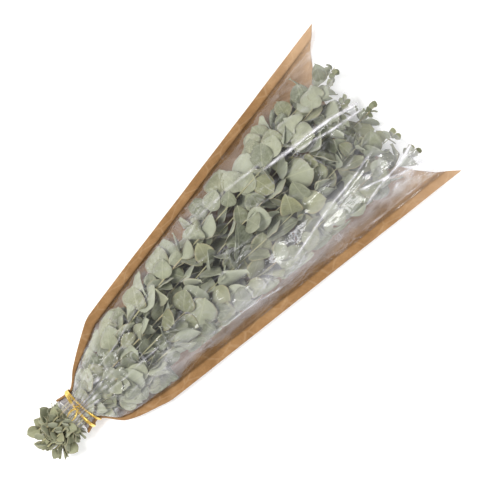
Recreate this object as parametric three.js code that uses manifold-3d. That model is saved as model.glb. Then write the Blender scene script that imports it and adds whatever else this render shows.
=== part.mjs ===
// A bunch of dried round-leaved eucalyptus, lying on its back in a florist's sleeve.
// The sleeve has a kraft paper back and a clear film front. The paper is folded over the film's side
// edges as a hem, and a gold ribbon gathers the sleeve round the stems near their cut ends.
//
// Millimetres, +Z up. The parts are laid out with the tie at x = 0, the cut ends towards -X and the
// tips and the sleeve's mouth towards +X. The finished group is then set down with the middle of its
// underside at the origin.
import * as THREE from "three";
import { mergeVertices } from "three/addons/utils/BufferGeometryUtils.js";
import Module from "manifold-3d";

// ---------- Driving dimensions ----------

const GAP = 0.3; // between pieces that touch

// The sleeve.
const PAPER_THICKNESS = 0.5;
const FILM_THICKNESS = 0.3;
const SKIRT_LENGTH = 20; // sleeve past the tie, towards the cut ends
const MOUTH_AT = 621; // the mouth's two corners
const PAPER_DIP = 75; // how far the middle of the paper's mouth lies behind the mouth's corners
const FILM_DIP = 40;
const NECK_HALF_WIDTH = 30;
const NECK_HEIGHT = 44;
const SHOULDER_AT = 90; // where the gathers have opened out
const SHOULDER_HALF_WIDTH = 84;
const MOUTH_HALF_WIDTH = 150;
const BODY_HEIGHT = 76;
const SEAM_HEIGHT = 12; // the hems' height over the surface, past the shoulder
const HEM = 15;
const NECK_HEM = 3;

// The ribbon that ties the neck.
const RIBBON_WIDTH = 2.4;
const RIBBON_THICKNESS = 0.8;
const RIBBON_TURNS = 2;
const RIBBON_PITCH = 4.6;
const KNOT_SIZE = 6;
const TAIL_LENGTH = 16;

// The sprigs: rows stacked from the paper up. The tie holds the stems close, and they fan out from it.
const ROWS = [
  { count: 3, level: -1, spread: 0.78 },
  { count: 5, level: 0, spread: 1 },
  { count: 4, level: 1, spread: 0.8 },
];
const STEM_RADIUS = 1.5;
const CUT_END = 76; // how far the longest stem reaches behind the tie
const CUT_SPREAD = 14; // between the longest stem and the shortest, at their cut ends
const TIP_INSET = 20; // from the longest tip to the mouth's corners
const TIP_SPREAD = 80; // between the longest tip and the shortest
const STEM_WAVE = 3;

// The leaves: opposite pairs, each pair a quarter turn round the stem from the last.
const LEAF_LENGTH = 42;
const LEAF_WIDTH = 38;
const LEAF_THICKNESS = 1;
const LEAF_SPREAD = 0.12; // how far a leaf's size may lie from the usual, as a share of it
const LEAF_ROOT = 0.3; // from a stem's middle to the base of a blade
const INTERNODE = 44;
const YOUNG_LENGTH = 95; // the stretch below a tip where leaves are still small
const YOUNG_SIZE = 0.45; // a leaf at the very tip, as a share of a full one
const BUTT_SIZE = 0.66; // a leaf behind the tie, as a share of a full one
const LEAF_CLEARANCE = 1.3; // between the middle of a blade's thickness and whatever is next to it

// ---------- Sizes that follow from those ----------

const LONGEST_TIP = MOUTH_AT - TIP_INSET;
const MIDDLE_AT = (SHOULDER_AT + MOUTH_AT) / 2;
const SHOULDER_HEIGHT = NECK_HEIGHT + 0.72 * (BODY_HEIGHT - NECK_HEIGHT);
const MOUTH_HEIGHT = 0.96 * BODY_HEIGHT;
const NECK_REST = RIBBON_THICKNESS + 2 * GAP; // the ribbon passes under the neck
const NECK_CENTRE = NECK_REST + NECK_HEIGHT / 2;
const FLAT_NECK = 7; // half the length of the neck's straight part
const NECK_PITCH = 0.293 * NECK_HALF_WIDTH; // between stems in a row, at the tie
const ROW_PITCH = 0.24 * NECK_HEIGHT; // between rows, at the tie
const FAN_HALF_WIDTH = 0.56 * MOUTH_HALF_WIDTH; // the outermost stems, at the longest tip
const FAN_ROW_PITCH = 0.21 * BODY_HEIGHT;
const FAN_CENTRE_HEIGHT = BODY_HEIGHT / 2;
const TUFT_RADIUS = NECK_HALF_WIDTH + 7; // of the leaves behind the tie

// ---------- Small helpers ----------

const clamp01 = (t) => Math.min(1, Math.max(0, t));
const mix = (a, b, t) => a + (b - a) * t;
const smooth = (t) => clamp01(t) ** 2 * (3 - 2 * clamp01(t));

const list = (count, make) => Array.from({ length: count }, (_, k) => make(k));
const radians = THREE.MathUtils.degToRad;
const vector = (x, y, z) => new THREE.Vector3(x, y, z);

// A value from 0 to 1 that looks random and is always the same for the same whole numbers.
function scatter(...keys) {
  let h = 2166136261;
  for (const key of keys) {
    h = Math.imul(h ^ (key + 1), 16777619) >>> 0;
    h = Math.imul(h ^ (h >>> 15), 2246822519) >>> 0;
  }
  return ((h ^ (h >>> 13)) >>> 0) / 4294967296;
}
const swing = (...keys) => 2 * scatter(...keys) - 1;

// A smooth curve through [x, value] stations, level past both ends.
function along(stations, x) {
  const slope = (i) => {
    const [a, b] = [stations[Math.max(0, i - 1)], stations[Math.min(stations.length - 1, i + 1)]];
    return (b[1] - a[1]) / (b[0] - a[0]);
  };
  const last = stations.length - 1;
  if (x <= stations[0][0]) return stations[0][1];
  if (x >= stations[last][0]) return stations[last][1];
  const i = stations.findIndex((s) => s[0] > x) - 1;
  const [x0, v0] = stations[i];
  const [x1, v1] = stations[i + 1];
  const t = (x - x0) / (x1 - x0);
  const [t2, t3, span] = [t * t, t * t * t, x1 - x0];
  return (
    (2 * t3 - 3 * t2 + 1) * v0 +
    (t3 - 2 * t2 + t) * span * slope(i) +
    (3 * t2 - 2 * t3) * v1 +
    (t3 - t2) * span * slope(i + 1)
  );
}

// ---------- The sleeve's shape ----------

// Half widths along the bunch, straight but for a small round corner at the shoulder. The bulge is how
// far the paper has opened a third of the way to the shoulder.
const CORNER = 8;
const CORNER_SHARE = 1 - CORNER / (SHOULDER_AT * (2 / 3));
const edgeStations = (bulge) => [
  [-SKIRT_LENGTH, 1.1 * NECK_HALF_WIDTH],
  [-FLAT_NECK, NECK_HALF_WIDTH],
  [FLAT_NECK, NECK_HALF_WIDTH],
  [SHOULDER_AT / 3, mix(NECK_HALF_WIDTH, SHOULDER_HALF_WIDTH, bulge)],
  [SHOULDER_AT - CORNER, mix(NECK_HALF_WIDTH, SHOULDER_HALF_WIDTH, mix(bulge, 1, CORNER_SHARE))],
  [SHOULDER_AT + CORNER, SHOULDER_HALF_WIDTH + 1],
  [MIDDLE_AT, (SHOULDER_HALF_WIDTH + MOUTH_HALF_WIDTH) / 2],
  [MOUTH_AT, MOUTH_HALF_WIDTH],
];
const LEFT_EDGE = edgeStations(0.34); // the +Y side
const RIGHT_EDGE = edgeStations(0.52);
const CEILING = [
  [-SKIRT_LENGTH, NECK_REST + NECK_HEIGHT + 1],
  [-FLAT_NECK, NECK_REST + NECK_HEIGHT],
  [FLAT_NECK, NECK_REST + NECK_HEIGHT],
  [SHOULDER_AT, SHOULDER_HEIGHT],
  [MIDDLE_AT, BODY_HEIGHT],
  [MOUTH_AT, MOUTH_HEIGHT],
];

const FLOOR_HASTE = 1.4; // the underside is down on the surface before the shoulder
const MOUTH_CURVE = 2.5;
const openness = (x) => smooth(x / SHOULDER_AT);
const halfWidth = (x, side) => along(side > 0 ? LEFT_EDGE : RIGHT_EDGE, x);
const hemWidth = (x) => mix(NECK_HEM, HEM, openness(x));
const innerHalfWidth = (x, side) => halfWidth(x, side) - hemWidth(x);
const floorHeight = (x) => NECK_REST * (1 - openness(FLOOR_HASTE * x));
const seamHeight = (x) => mix(NECK_CENTRE, SEAM_HEIGHT, openness(x));

// How far a cross-section stands off its seam at a share of its half width: an ellipse at the neck, and
// past it a curve that is flatter in the middle the higher its power.
function bellied(share, x, power, roundness) {
  const open = openness(x);
  return Math.max(0, 1 - Math.abs(share) ** mix(2, power, open)) ** mix(0.5, roundness, open);
}

// The paper's underside, and the film's outside, at a share of the inner half width.
const TRAY = { power: 6, roundness: 1, depth: 1.25 }; // a depth over 1 gives a truly flat bottom
const DOME = { power: 2.4, roundness: 1.15 };
function paperUnder(x, share) {
  const depth = (seamHeight(x) - floorHeight(x)) * mix(1, TRAY.depth, openness(x));
  return Math.max(floorHeight(x), seamHeight(x) - depth * bellied(share, x, TRAY.power, TRAY.roundness));
}
const filmSeam = (x) => seamHeight(x) + PAPER_THICKNESS + GAP;
function filmOver(x, share) {
  const bottom = filmSeam(x) + FILM_THICKNESS;
  return bottom + (along(CEILING, x) - bottom) * bellied(share, x, DOME.power, DOME.roundness);
}

// True if a point is inside the sleeve by a margin.
function insideSleeve(p, margin) {
  const reach = (Math.abs(p.y) + margin) / innerHalfWidth(p.x, p.y);
  if (reach >= 1) return false;
  return (
    p.z > paperUnder(p.x, reach) + PAPER_THICKNESS + margin &&
    p.z < filmOver(p.x, reach) - FILM_THICKNESS - margin
  );
}

// ---------- The sleeve's solids ----------

const LENGTH_STEPS = [
  -SKIRT_LENGTH,
  -FLAT_NECK,
  0,
  FLAT_NECK,
  ...[0.2, 0.35, 0.53, 0.75, 1].map((share) => share * SHOULDER_AT),
  ...[0.12, 0.28, 0.47, 0.68, 1].map((share) => mix(SHOULDER_AT, MOUTH_AT, share)),
];
const ROUND_STEPS = 7; // along a cross-section, from its middle to a hem
const ROUND_SHARES = list(ROUND_STEPS + 1, (k) => Math.sin((k / ROUND_STEPS) * (Math.PI / 2)));

// The x of a point on a sheet: the sheet is drawn back evenly to its mouth's curved edge.
function sheetX(x, share, dip) {
  const stretch = clamp01((x - SHOULDER_AT) / (MOUTH_AT - SHOULDER_AT));
  return x - dip * (1 - Math.abs(share) ** MOUTH_CURVE) * stretch;
}

// Closed solid through a row of cross-sections with as many corners each. The first half of the corners
// runs along one face of a sheet and the second half back along the other, and both faces are split
// along the same diagonals, so that they stay apart. flat gives a corner's place in the plane of an end
// section, in which the corners run anticlockwise.
function loft(sections, flat = (p) => new THREE.Vector2(p.y, p.z)) {
  const corners = sections[0].length;
  const positions = sections.flat().flatMap((p) => [p.x, p.y, p.z]);
  const index = [];
  for (let s = 0; s + 1 < sections.length; s++)
    for (let c = 0; c < corners; c++) {
      const [a, b] = [s * corners + c, s * corners + ((c + 1) % corners)];
      const [a2, b2] = [a + corners, b + corners];
      index.push(...(c < corners / 2 ? [a, b, a2, b, b2, a2] : [a, b, b2, a, b2, a2]));
    }
  for (const s of [0, sections.length - 1])
    for (const [a, b, c] of THREE.ShapeUtils.triangulateShape(sections[s].map(flat), [])) {
      const face = [a, b, c].map((k) => k + s * corners);
      index.push(...(s > 0 ? face : face.reverse()));
    }
  return new THREE.BufferGeometry()
    .setAttribute("position", new THREE.Float32BufferAttribute(positions, 3))
    .setIndex(index);
}

// A sheet's cross-section from its two halves, each given from the middle out as [share, y, z] along
// its lower and its upper face.
function closedSection(x, dip, half) {
  const place = (side) => ([share, y, z]) => vector(sheetX(x, share, dip), side * y, z);
  const [right, left] = [half(-1), half(1)];
  return [
    ...right.lower.slice().reverse().map(place(-1)),
    ...left.lower.slice(1).map(place(1)),
    ...left.upper.slice().reverse().map(place(1)),
    ...right.upper.slice(1).map(place(-1)),
  ];
}

function paperSection(x) {
  return closedSection(x, PAPER_DIP, (side) => {
    const [inner, edge] = [innerHalfWidth(x, side), halfWidth(x, side)];
    const [seam, t] = [seamHeight(x), PAPER_THICKNESS];
    const slot = seam + t + FILM_THICKNESS + 2 * GAP; // the underside of the hem, folded over the film
    const share = inner / edge;
    return {
      lower: [
        ...ROUND_SHARES.map((k) => [k * share, inner * k, paperUnder(x, k)]),
        [1, edge, seam],
        [1, edge, slot + t],
        [share, inner, slot + t],
      ],
      upper: [
        ...ROUND_SHARES.map((k) => [k * share, (inner - t) * k, paperUnder(x, k) + t]),
        [1, edge - t, seam + t],
        [1, edge - t, slot],
        [share, inner, slot],
      ],
    };
  });
}

function filmSection(x) {
  return closedSection(x, FILM_DIP, (side) => {
    const inner = innerHalfWidth(x, side) - 2 * GAP;
    const edge = halfWidth(x, side) - PAPER_THICKNESS - GAP;
    const [seam, t] = [filmSeam(x), FILM_THICKNESS];
    const share = inner / halfWidth(x, side);
    return {
      lower: [
        ...ROUND_SHARES.map((k) => [k * share, (inner - t) * k, filmOver(x, k) - t]),
        [1, edge, seam],
      ],
      upper: [
        ...ROUND_SHARES.map((k) => [k * share, inner * k, filmOver(x, k)]),
        [1, edge, seam + t],
      ],
    };
  });
}

// ---------- The ribbon ----------

const RIBBON_STEPS = 24; // sections in a turn
const RIBBON_CORNERS = [[-1, -1], [1, -1], [1, 1], [-1, 1]];
const TIE_HALF_WIDTH = NECK_HALF_WIDTH + 0.4 + GAP + RIBBON_THICKNESS / 2;
const TIE_HALF_HEIGHT = NECK_HEIGHT / 2 + GAP + RIBBON_THICKNESS / 2;
const TIE_TOP = NECK_CENTRE + TIE_HALF_HEIGHT + RIBBON_THICKNESS / 2;

// The ribbon wound round the neck, starting and ending on top.
function ribbonWinding() {
  const steps = RIBBON_STEPS * RIBBON_TURNS;
  const sections = list(steps + 1, (k) => {
    const turn = (2 * Math.PI * k) / RIBBON_STEPS;
    const middle = RIBBON_PITCH * RIBBON_TURNS * (k / steps - 0.5);
    return RIBBON_CORNERS.map(([out, ahead]) =>
      vector(
        middle + (ahead * RIBBON_WIDTH) / 2,
        (TIE_HALF_WIDTH + (out * RIBBON_THICKNESS) / 2) * Math.sin(turn),
        NECK_CENTRE + (TIE_HALF_HEIGHT + (out * RIBBON_THICKNESS) / 2) * Math.cos(turn),
      ),
    );
  });
  return loft(sections, (p) => new THREE.Vector2(p.z, p.x));
}

// The knot sits on the windings, and a tail runs from each of its sides over the skirt.
const KNOT_SHAPE = vector(1, 1.25, 0.8);
const KNOT_CENTRE = vector(-1, 3, TIE_TOP + GAP + 0.4 * KNOT_SIZE);
const KNOT_CORNERS = { around: 10, down: 6 };
const TAIL_STEPS = 8;

function knot() {
  return new THREE.SphereGeometry(KNOT_SIZE / 2, KNOT_CORNERS.around, KNOT_CORNERS.down)
    .scale(...KNOT_SHAPE.toArray())
    .translate(...KNOT_CENTRE.toArray());
}

function tail(side) {
  const [w, t] = [RIBBON_WIDTH / 2, RIBBON_THICKNESS / 2];
  const flat = new THREE.Shape(RIBBON_CORNERS.map(([a, b]) => new THREE.Vector2(a * w, b * t)));
  const start = KNOT_CENTRE.clone().add(vector(-KNOT_SIZE / 2 - GAP - w, 2.2 * side, 0.5));
  const bend = start.clone().add(vector(-0.45 * TAIL_LENGTH, 2 * side - 1, 3));
  const end = start.clone().add(vector(-0.85 * TAIL_LENGTH, 4 * side - 5, 1));
  const extrudePath = new THREE.QuadraticBezierCurve3(start, bend, end);
  return new THREE.ExtrudeGeometry(flat, { steps: TAIL_STEPS, extrudePath });
}

// ---------- The sprigs ----------

// Every sprig's place in its row, its cut end and its tip.
function sprigList() {
  const places = ROWS.flatMap((row) => list(row.count, (j) => ({ row, across: j - (row.count - 1) / 2 })));
  return places.map(({ row, across }, n) => ({
    number: n,
    level: row.level,
    neckY: across * NECK_PITCH,
    fanY: (across / ((row.count - 1) / 2)) * row.spread * FAN_HALF_WIDTH,
    cut: -CUT_END + CUT_SPREAD * scatter(n, 1),
    tip: LONGEST_TIP - TIP_SPREAD * (1 - scatter(n, 2)),
    phase: 2 * Math.PI * scatter(n, 3),
  }));
}

// A point on a sprig's stem at a given x.
const FAN_CURVE = { across: 0.66, up: 0.6 };
const WAVE = { across: 70, up: 55, height: 0.6, from: 150 }; // lengths, share, and where it is full
const BUTT_FLARE = 0.2; // how far stems spread again behind the tie
function stemPoint(sprig, x) {
  const fan = clamp01(x / LONGEST_TIP);
  const flare = 1 + BUTT_FLARE * clamp01(-x / CUT_END);
  const wave = STEM_WAVE * clamp01(x / WAVE.from);
  const fanZ = FAN_CENTRE_HEIGHT - NECK_CENTRE + sprig.level * FAN_ROW_PITCH;
  const freed = smooth(x / SHOULDER_AT);
  const y = mix(sprig.neckY * flare, sprig.fanY, freed * fan ** FAN_CURVE.across);
  const z = mix(sprig.level * ROW_PITCH * flare, fanZ, freed * fan ** FAN_CURVE.up);
  return vector(
    x,
    y + wave * Math.sin(x / WAVE.across + sprig.phase),
    NECK_CENTRE + z + WAVE.height * wave * Math.cos(x / WAVE.up + sprig.phase),
  );
}

const stemLine = (sprig, points) =>
  list(points, (k) => stemPoint(sprig, mix(sprig.cut, sprig.tip, k / (points - 1))));

const STEM_SIDES = 5;
const STEM_STEP = 30;
function stemSolid(sprig) {
  const steps = Math.round((sprig.tip - sprig.cut) / STEM_STEP);
  const ring = list(STEM_SIDES, (k) => {
    const turn = (2 * Math.PI * k) / STEM_SIDES;
    return new THREE.Vector2(STEM_RADIUS * Math.cos(turn), STEM_RADIUS * Math.sin(turn));
  });
  return new THREE.ExtrudeGeometry(new THREE.Shape(ring), {
    steps,
    extrudePath: new THREE.CatmullRomCurve3(stemLine(sprig, 2 * steps)),
  });
}

// How far a leaf has grown: 1 on the old wood, less towards the tip.
const grown = (sprig, x) => mix(YOUNG_SIZE, 1, smooth((sprig.tip - x) / YOUNG_LENGTH));

// The x of each leaf pair: on the outer sprigs three behind the tie, then one each internode to the tip.
const BUTT_PAIRS = [-30, -42, -54];
const BUTT_SHIFT = 6;
const FIRST_PAIR = 16;
const LAST_PAIR = 4; // from the tip
const YOUNG_INTERNODE = 0.55; // as a share of a full one
function leafPairs(sprig) {
  const outermost = Math.hypot(sprig.neckY / NECK_PITCH, sprig.level) > 0.9;
  const behind = outermost ? BUTT_PAIRS.map((x, k) => x - BUTT_SHIFT * scatter(sprig.number, 20 + k)) : [];
  const ahead = [];
  let x = FIRST_PAIR + 0.8 * INTERNODE * scatter(sprig.number, 4);
  while (x < sprig.tip - LAST_PAIR) {
    ahead.push(x);
    const step = INTERNODE * mix(YOUNG_INTERNODE, 1, grown(sprig, x));
    x += step * (1 + 0.15 * swing(sprig.number, 5, ahead.length));
  }
  return [...behind, ...ahead];
}

// How leaves are held, in degrees. The lean is between a leaf and the stem ahead of it, the roll is
// round the stem, and the twist is round the leaf's own length.
const OPEN_LEAN = 62;
const FOLDED_LEAN = 14;
const LEAN_SWING = 16;
const BUTT_LEAN = 105;
const BUTT_SPLAY = 46;
const ROLL_SWING = 17;
const ROLL_WIDENS = 1.15; // from one try to the next
const TWIST_SWING = 29;
const FOLDED_TWIST = 69;
const FIRST_TRIES = 40; // at full size, each further forward than the last
const SHRINK = 0.985; // from one try to the next after those

// One try at holding a leaf: its middle, its directions and its half sizes.
function holdLeaf(sprig, pair, side, x, attempt) {
  const keys = [sprig.number, 100 + pair, side, attempt];
  const atButt = x < 0;
  const folding = clamp01(attempt / FIRST_TRIES);
  const stem = stemPoint(sprig, x + 1).sub(stemPoint(sprig, x - 1)).normalize();

  const quarterTurns = (pair % 2) * 90 + side * 180 + 7 * sprig.phase;
  const outOfBunch = Math.atan2(-sprig.neckY, sprig.level * ROW_PITCH + 0.1) * THREE.MathUtils.RAD2DEG;
  const roll = atButt ? outOfBunch + mix(-BUTT_SPLAY, BUTT_SPLAY, side) : quarterTurns;
  const rolled = radians(roll + (ROLL_SWING + ROLL_WIDENS * attempt) * swing(...keys, 1));
  const outward = vector(0, 0, 1).projectOnPlane(stem).normalize().applyAxisAngle(stem, rolled);

  const folded = mix(OPEN_LEAN, FOLDED_LEAN, folding * scatter(...keys, 4));
  const lean = (atButt ? BUTT_LEAN + 25 * swing(...keys, 5) : folded) + LEAN_SWING * swing(...keys, 2);
  const leaned = radians(Math.max(FOLDED_LEAN, lean));
  const axis = stem.clone().multiplyScalar(Math.cos(leaned)).addScaledVector(outward, Math.sin(leaned));

  const twist = radians(mix(TWIST_SWING, FOLDED_TWIST, folding) * swing(...keys, 3));
  const normal = outward.clone().multiplyScalar(Math.cos(leaned)).addScaledVector(stem, -Math.sin(leaned));
  normal.applyAxisAngle(axis, twist);

  const shrunk = SHRINK ** Math.max(0, attempt - FIRST_TRIES);
  const usual = (atButt ? BUTT_SIZE : grown(sprig, x)) * shrunk;
  const size = usual * (1 + LEAF_SPREAD * swing(sprig.number, pair, side, 7));
  const long = (size * LEAF_LENGTH) / 2;
  return {
    sprig: sprig.number,
    pair,
    long,
    wide: (size * LEAF_WIDTH) / 2,
    axis,
    normal,
    across: normal.clone().cross(axis),
    centre: stemPoint(sprig, x).addScaledVector(outward, LEAF_ROOT).addScaledVector(axis, long),
  };
}

const RIM_POINTS = 16;
const onBlade = (leaf, lengthwise, sideways) =>
  leaf.centre
    .clone()
    .addScaledVector(leaf.axis, lengthwise * leaf.long)
    .addScaledVector(leaf.across, sideways * leaf.wide);
const rimOf = (leaf) =>
  list(RIM_POINTS, (k) => {
    const turn = (2 * Math.PI * k) / RIM_POINTS;
    return onBlade(leaf, Math.cos(turn), Math.sin(turn));
  });

// True if a line of points passes through a leaf's blade or comes too near it.
function lineMeetsLeaf(points, leaf, clearance, closed) {
  const reach = Math.min(leaf.long, leaf.wide);
  const local = points.map((p) => {
    const d = p.clone().sub(leaf.centre);
    return [d.dot(leaf.axis) / leaf.long, d.dot(leaf.across) / leaf.wide, d.dot(leaf.normal)];
  });
  return local.some(([a, b, h], k) => {
    const beyond = Math.max(0, Math.hypot(a, b) - 1) * reach;
    if (Math.hypot(beyond, h) < clearance) return true;
    if (!closed && k + 1 === local.length) return false;
    const [a2, b2, h2] = local[(k + 1) % local.length];
    if (h * h2 >= 0) return false;
    const t = h / (h - h2);
    return Math.hypot(mix(a, a2, t), mix(b, b2, t)) < 1 + clearance / reach;
  });
}

// Behind the tie the leaves stay past the skirt, off the surface and in a loose tuft.
const insideTuft = (p) =>
  p.x < -SKIRT_LENGTH - 2 && p.z > 1.5 && Math.hypot(p.y, 1.35 * (p.z - NECK_CENTRE)) < TUFT_RADIUS;

// True if a leaf has room: inside the sleeve, off the other stems and clear of the leaves already placed.
function hasRoom(leaf, leaves, stems) {
  const inBounds = leaf.centre.x > 0 ? (p) => insideSleeve(p, 1) : insideTuft;
  if (!leaf.rim.every(inBounds)) return false;
  const near = (other) => other.centre.distanceTo(leaf.centre) < leaf.long + other.long + LEAF_CLEARANCE;
  const rimMeets = (one, other) => lineMeetsLeaf(one.rim, other, LEAF_CLEARANCE, true);
  const meets = (other) => rimMeets(leaf, other) || rimMeets(other, leaf);
  const partner = (other) => other.sprig === leaf.sprig && other.pair === leaf.pair;
  if (leaves.some((other) => !partner(other) && near(other) && meets(other))) return false;
  const clearance = STEM_RADIUS + LEAF_CLEARANCE / 2;
  return !stems.some((line, number) => number !== leaf.sprig && lineMeetsLeaf(line, leaf, clearance, false));
}

// Places every leaf, from the cut ends to the tips, each in the first of its tries that has room.
const SMALLEST_LEAF = 6;
function placeLeaves(sprigs) {
  const stems = sprigs.map((sprig) => stemLine(sprig, 161));
  const wanted = sprigs.flatMap((sprig) => leafPairs(sprig).map((x, pair) => ({ sprig, pair, x })));
  wanted.sort((a, b) => a.x - b.x || a.sprig.number - b.sprig.number);
  const leaves = [];
  for (const { sprig, pair, x } of wanted)
    for (const side of [0, 1])
      for (let attempt = 0; ; attempt++) {
        const leaf = holdLeaf(sprig, pair, side, x, attempt);
        leaf.rim = rimOf(leaf);
        if (2 * leaf.long > SMALLEST_LEAF && !hasRoom(leaf, leaves, stems)) continue;
        leaves.push(leaf);
        break;
      }
  return leaves;
}

// A blade's outline as [lengthwise, sideways] shares of its half sizes: a narrow base, a round middle
// and a small point. The solid is thickest at the blade's middle and thin at its rim.
const HALF_OUTLINE = [
  [-0.72, 0.3],
  [-0.25, 0.98],
  [0.55, 0.82],
];
const OUTLINE = [[-1, 0], ...HALF_OUTLINE, [1, 0], ...HALF_OUTLINE.map(([a, b]) => [a, -b]).reverse()];
function leafSolid(leaf) {
  const rim = OUTLINE.map(([lengthwise, sideways]) => onBlade(leaf, lengthwise, sideways));
  const face = (side) => leaf.centre.clone().addScaledVector(leaf.normal, (side * LEAF_THICKNESS) / 2);
  const n = rim.length;
  const index = rim.flatMap((_, k) => [k, n, (k + 1) % n, k, (k + 1) % n, n + 1]);
  return new THREE.BufferGeometry().setFromPoints([...rim, face(1), face(-1)]).setIndex(index);
}

// ---------- Joining with manifold-3d ----------

const wasm = await Module();
wasm.setup();

function toSolid(geometry) {
  const bare = geometry.clone();
  bare.deleteAttribute("normal");
  bare.deleteAttribute("uv");
  const merged = mergeVertices(bare, 1e-4);
  return new wasm.Manifold(
    new wasm.Mesh({
      numProp: 3,
      vertProperties: new Float32Array(merged.attributes.position.array),
      triVerts: new Uint32Array(merged.index.array),
    }),
  );
}

function toGeometry(solid) {
  const mesh = solid.getMesh();
  return new THREE.BufferGeometry()
    .setAttribute("position", new THREE.BufferAttribute(new Float32Array(mesh.vertProperties), 3))
    .setIndex(new THREE.BufferAttribute(new Uint32Array(mesh.triVerts), 1));
}

// ---------- The assembly ----------

const finish = (color, roughness, metalness, opacity = 1) =>
  new THREE.MeshStandardMaterial({ color, roughness, metalness, opacity, transparent: opacity < 1 });
const KRAFT = () => finish(0xc89664, 0.85, 0);
const CLEAR_FILM = () => finish(0xe8eef0, 0.15, 0, 0.25);
const GOLD = () => finish(0xd9a93a, 0.3, 0.8);
const DRIED_LEAF = () => finish(0x9ea48c, 0.8, 0);

function named(name, geometry, material) {
  const mesh = new THREE.Mesh(geometry, material());
  mesh.name = name;
  return mesh;
}

const bunch = new THREE.Group();
bunch.add(named("kraft_paper_back", loft(LENGTH_STEPS.map(paperSection)), KRAFT));
bunch.add(named("clear_film_front", loft(LENGTH_STEPS.map(filmSection)), CLEAR_FILM));
bunch.add(named("tie_ribbon", ribbonWinding(), GOLD));
bunch.add(named("tie_knot", knot(), GOLD));
bunch.add(named("tie_tail_left", tail(1), GOLD));
bunch.add(named("tie_tail_right", tail(-1), GOLD));

const sprigs = sprigList();
const leaves = placeLeaves(sprigs);
for (const sprig of sprigs) {
  const blades = leaves.filter((leaf) => leaf.sprig === sprig.number).map(leafSolid);
  const joined = blades.reduce((solid, blade) => solid.add(toSolid(blade)), toSolid(stemSolid(sprig)));
  bunch.add(named("sprig_" + String(sprig.number + 1).padStart(2, "0"), toGeometry(joined), DRIED_LEAF));
}

const box = new THREE.Box3().setFromObject(bunch);
const middle = box.getCenter(new THREE.Vector3());
bunch.position.set(-middle.x, -middle.y, -box.min.z);

const part = new THREE.Group();
part.add(bunch);
export default part;
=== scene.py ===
"""A bunch of dried round-leaved eucalyptus in a sleeve of kraft paper and clear film.

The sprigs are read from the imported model: each leaf's place and size comes from the CAD leaf that it
stands for, and more leaves fill the room between them. The paper, film and ribbon follow the same
curves as the CAD sheets, with creases, pleats and folds. Lengths are in millimetres, counted from the
tie, up to the point where a mesh is made.
"""

import math

import bpy
import numpy as np
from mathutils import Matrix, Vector, noise
from mathutils.bvhtree import BVHTree


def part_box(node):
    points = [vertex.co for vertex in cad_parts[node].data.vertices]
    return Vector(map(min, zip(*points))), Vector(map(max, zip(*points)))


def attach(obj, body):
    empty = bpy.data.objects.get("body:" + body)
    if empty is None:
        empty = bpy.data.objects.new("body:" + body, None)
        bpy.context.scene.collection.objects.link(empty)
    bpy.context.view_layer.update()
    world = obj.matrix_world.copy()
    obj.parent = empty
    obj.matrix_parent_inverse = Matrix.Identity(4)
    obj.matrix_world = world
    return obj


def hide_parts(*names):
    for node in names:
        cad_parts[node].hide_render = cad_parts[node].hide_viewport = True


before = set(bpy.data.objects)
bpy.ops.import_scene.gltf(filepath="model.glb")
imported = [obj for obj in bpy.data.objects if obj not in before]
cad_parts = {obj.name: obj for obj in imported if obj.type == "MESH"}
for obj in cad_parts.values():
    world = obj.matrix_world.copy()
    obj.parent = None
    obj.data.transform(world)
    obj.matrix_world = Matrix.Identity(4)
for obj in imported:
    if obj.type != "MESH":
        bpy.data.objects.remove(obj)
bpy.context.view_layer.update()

MM = 0.001
TIE_LOW, TIE_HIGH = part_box("tie_ribbon")
TIE = (TIE_LOW + TIE_HIGH) / 2 / MM  # the tie's middle: x is counted from it below
SPRIGS = sorted(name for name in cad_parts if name.startswith("sprig_"))


# ---------- Camera, floor and light ----------

VIEW_SPAN = 0.704  # the height and width of the camera's view, at the bunch
LENS = 85
SENSOR = 36
VIEW_AHEAD = 0.3259  # from the tie to the middle of the view
VIEW_ASIDE = -0.0141
VIEW_CENTRE = Vector((TIE.x * MM + VIEW_AHEAD, VIEW_ASIDE, 0.0))
BUNCH_TILT = math.radians(45.5)  # of the bunch across the view
BUNCH_MIDDLE_HEIGHT = 0.04
WORLD_STRENGTH = 0.52

distance = VIEW_SPAN * LENS / SENSOR
camera_data = bpy.data.cameras.new("camera")
camera_data.lens = LENS
camera_data.sensor_width = SENSOR
camera = bpy.data.objects.new("camera", camera_data)
camera.location = VIEW_CENTRE + Vector((0, 0, distance + BUNCH_MIDDLE_HEIGHT))
camera.rotation_euler = (0, 0, -BUNCH_TILT)
bpy.context.scene.collection.objects.link(camera)
bpy.context.scene.camera = camera


def area_light(name, place, size, power, colour=(1, 1, 1), mirrored=False):
    """A square light that faces the middle of the bunch. Gloss shows it only if it is mirrored."""
    data = bpy.data.lights.new(name, "AREA")
    data.size = size
    data.energy = power
    data.color = colour
    light = bpy.data.objects.new(name, data)
    light.location = VIEW_CENTRE + Vector(place)
    aim = VIEW_CENTRE - light.location
    light.rotation_euler = aim.to_track_quat("-Z", "Y").to_euler()
    light.visible_glossy = mirrored
    bpy.context.scene.collection.objects.link(light)


area_light("key_light", (-0.6, 0.75, 1.6), 0.7, 32, (1, 0.985, 0.96))
area_light("fill_light", (1.0, -0.9, 1.4), 1.2, 10, (0.96, 0.98, 1))
area_light("gloss_light", (0.3, -1.2, 1.1), 0.5, 7, mirrored=True)
area_light("gloss_light_left", (-0.9, 0.5, 1.2), 0.22, 1.3, mirrored=True)

world = bpy.data.worlds.new("studio")
world.use_nodes = True
background = world.node_tree.nodes["Background"]
background.inputs["Color"].default_value = (1, 1, 1, 1)
background.inputs["Strength"].default_value = WORLD_STRENGTH
bpy.context.scene.world = world
bpy.context.scene.view_settings.view_transform = "Standard"


# ---------- Material helpers ----------


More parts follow.
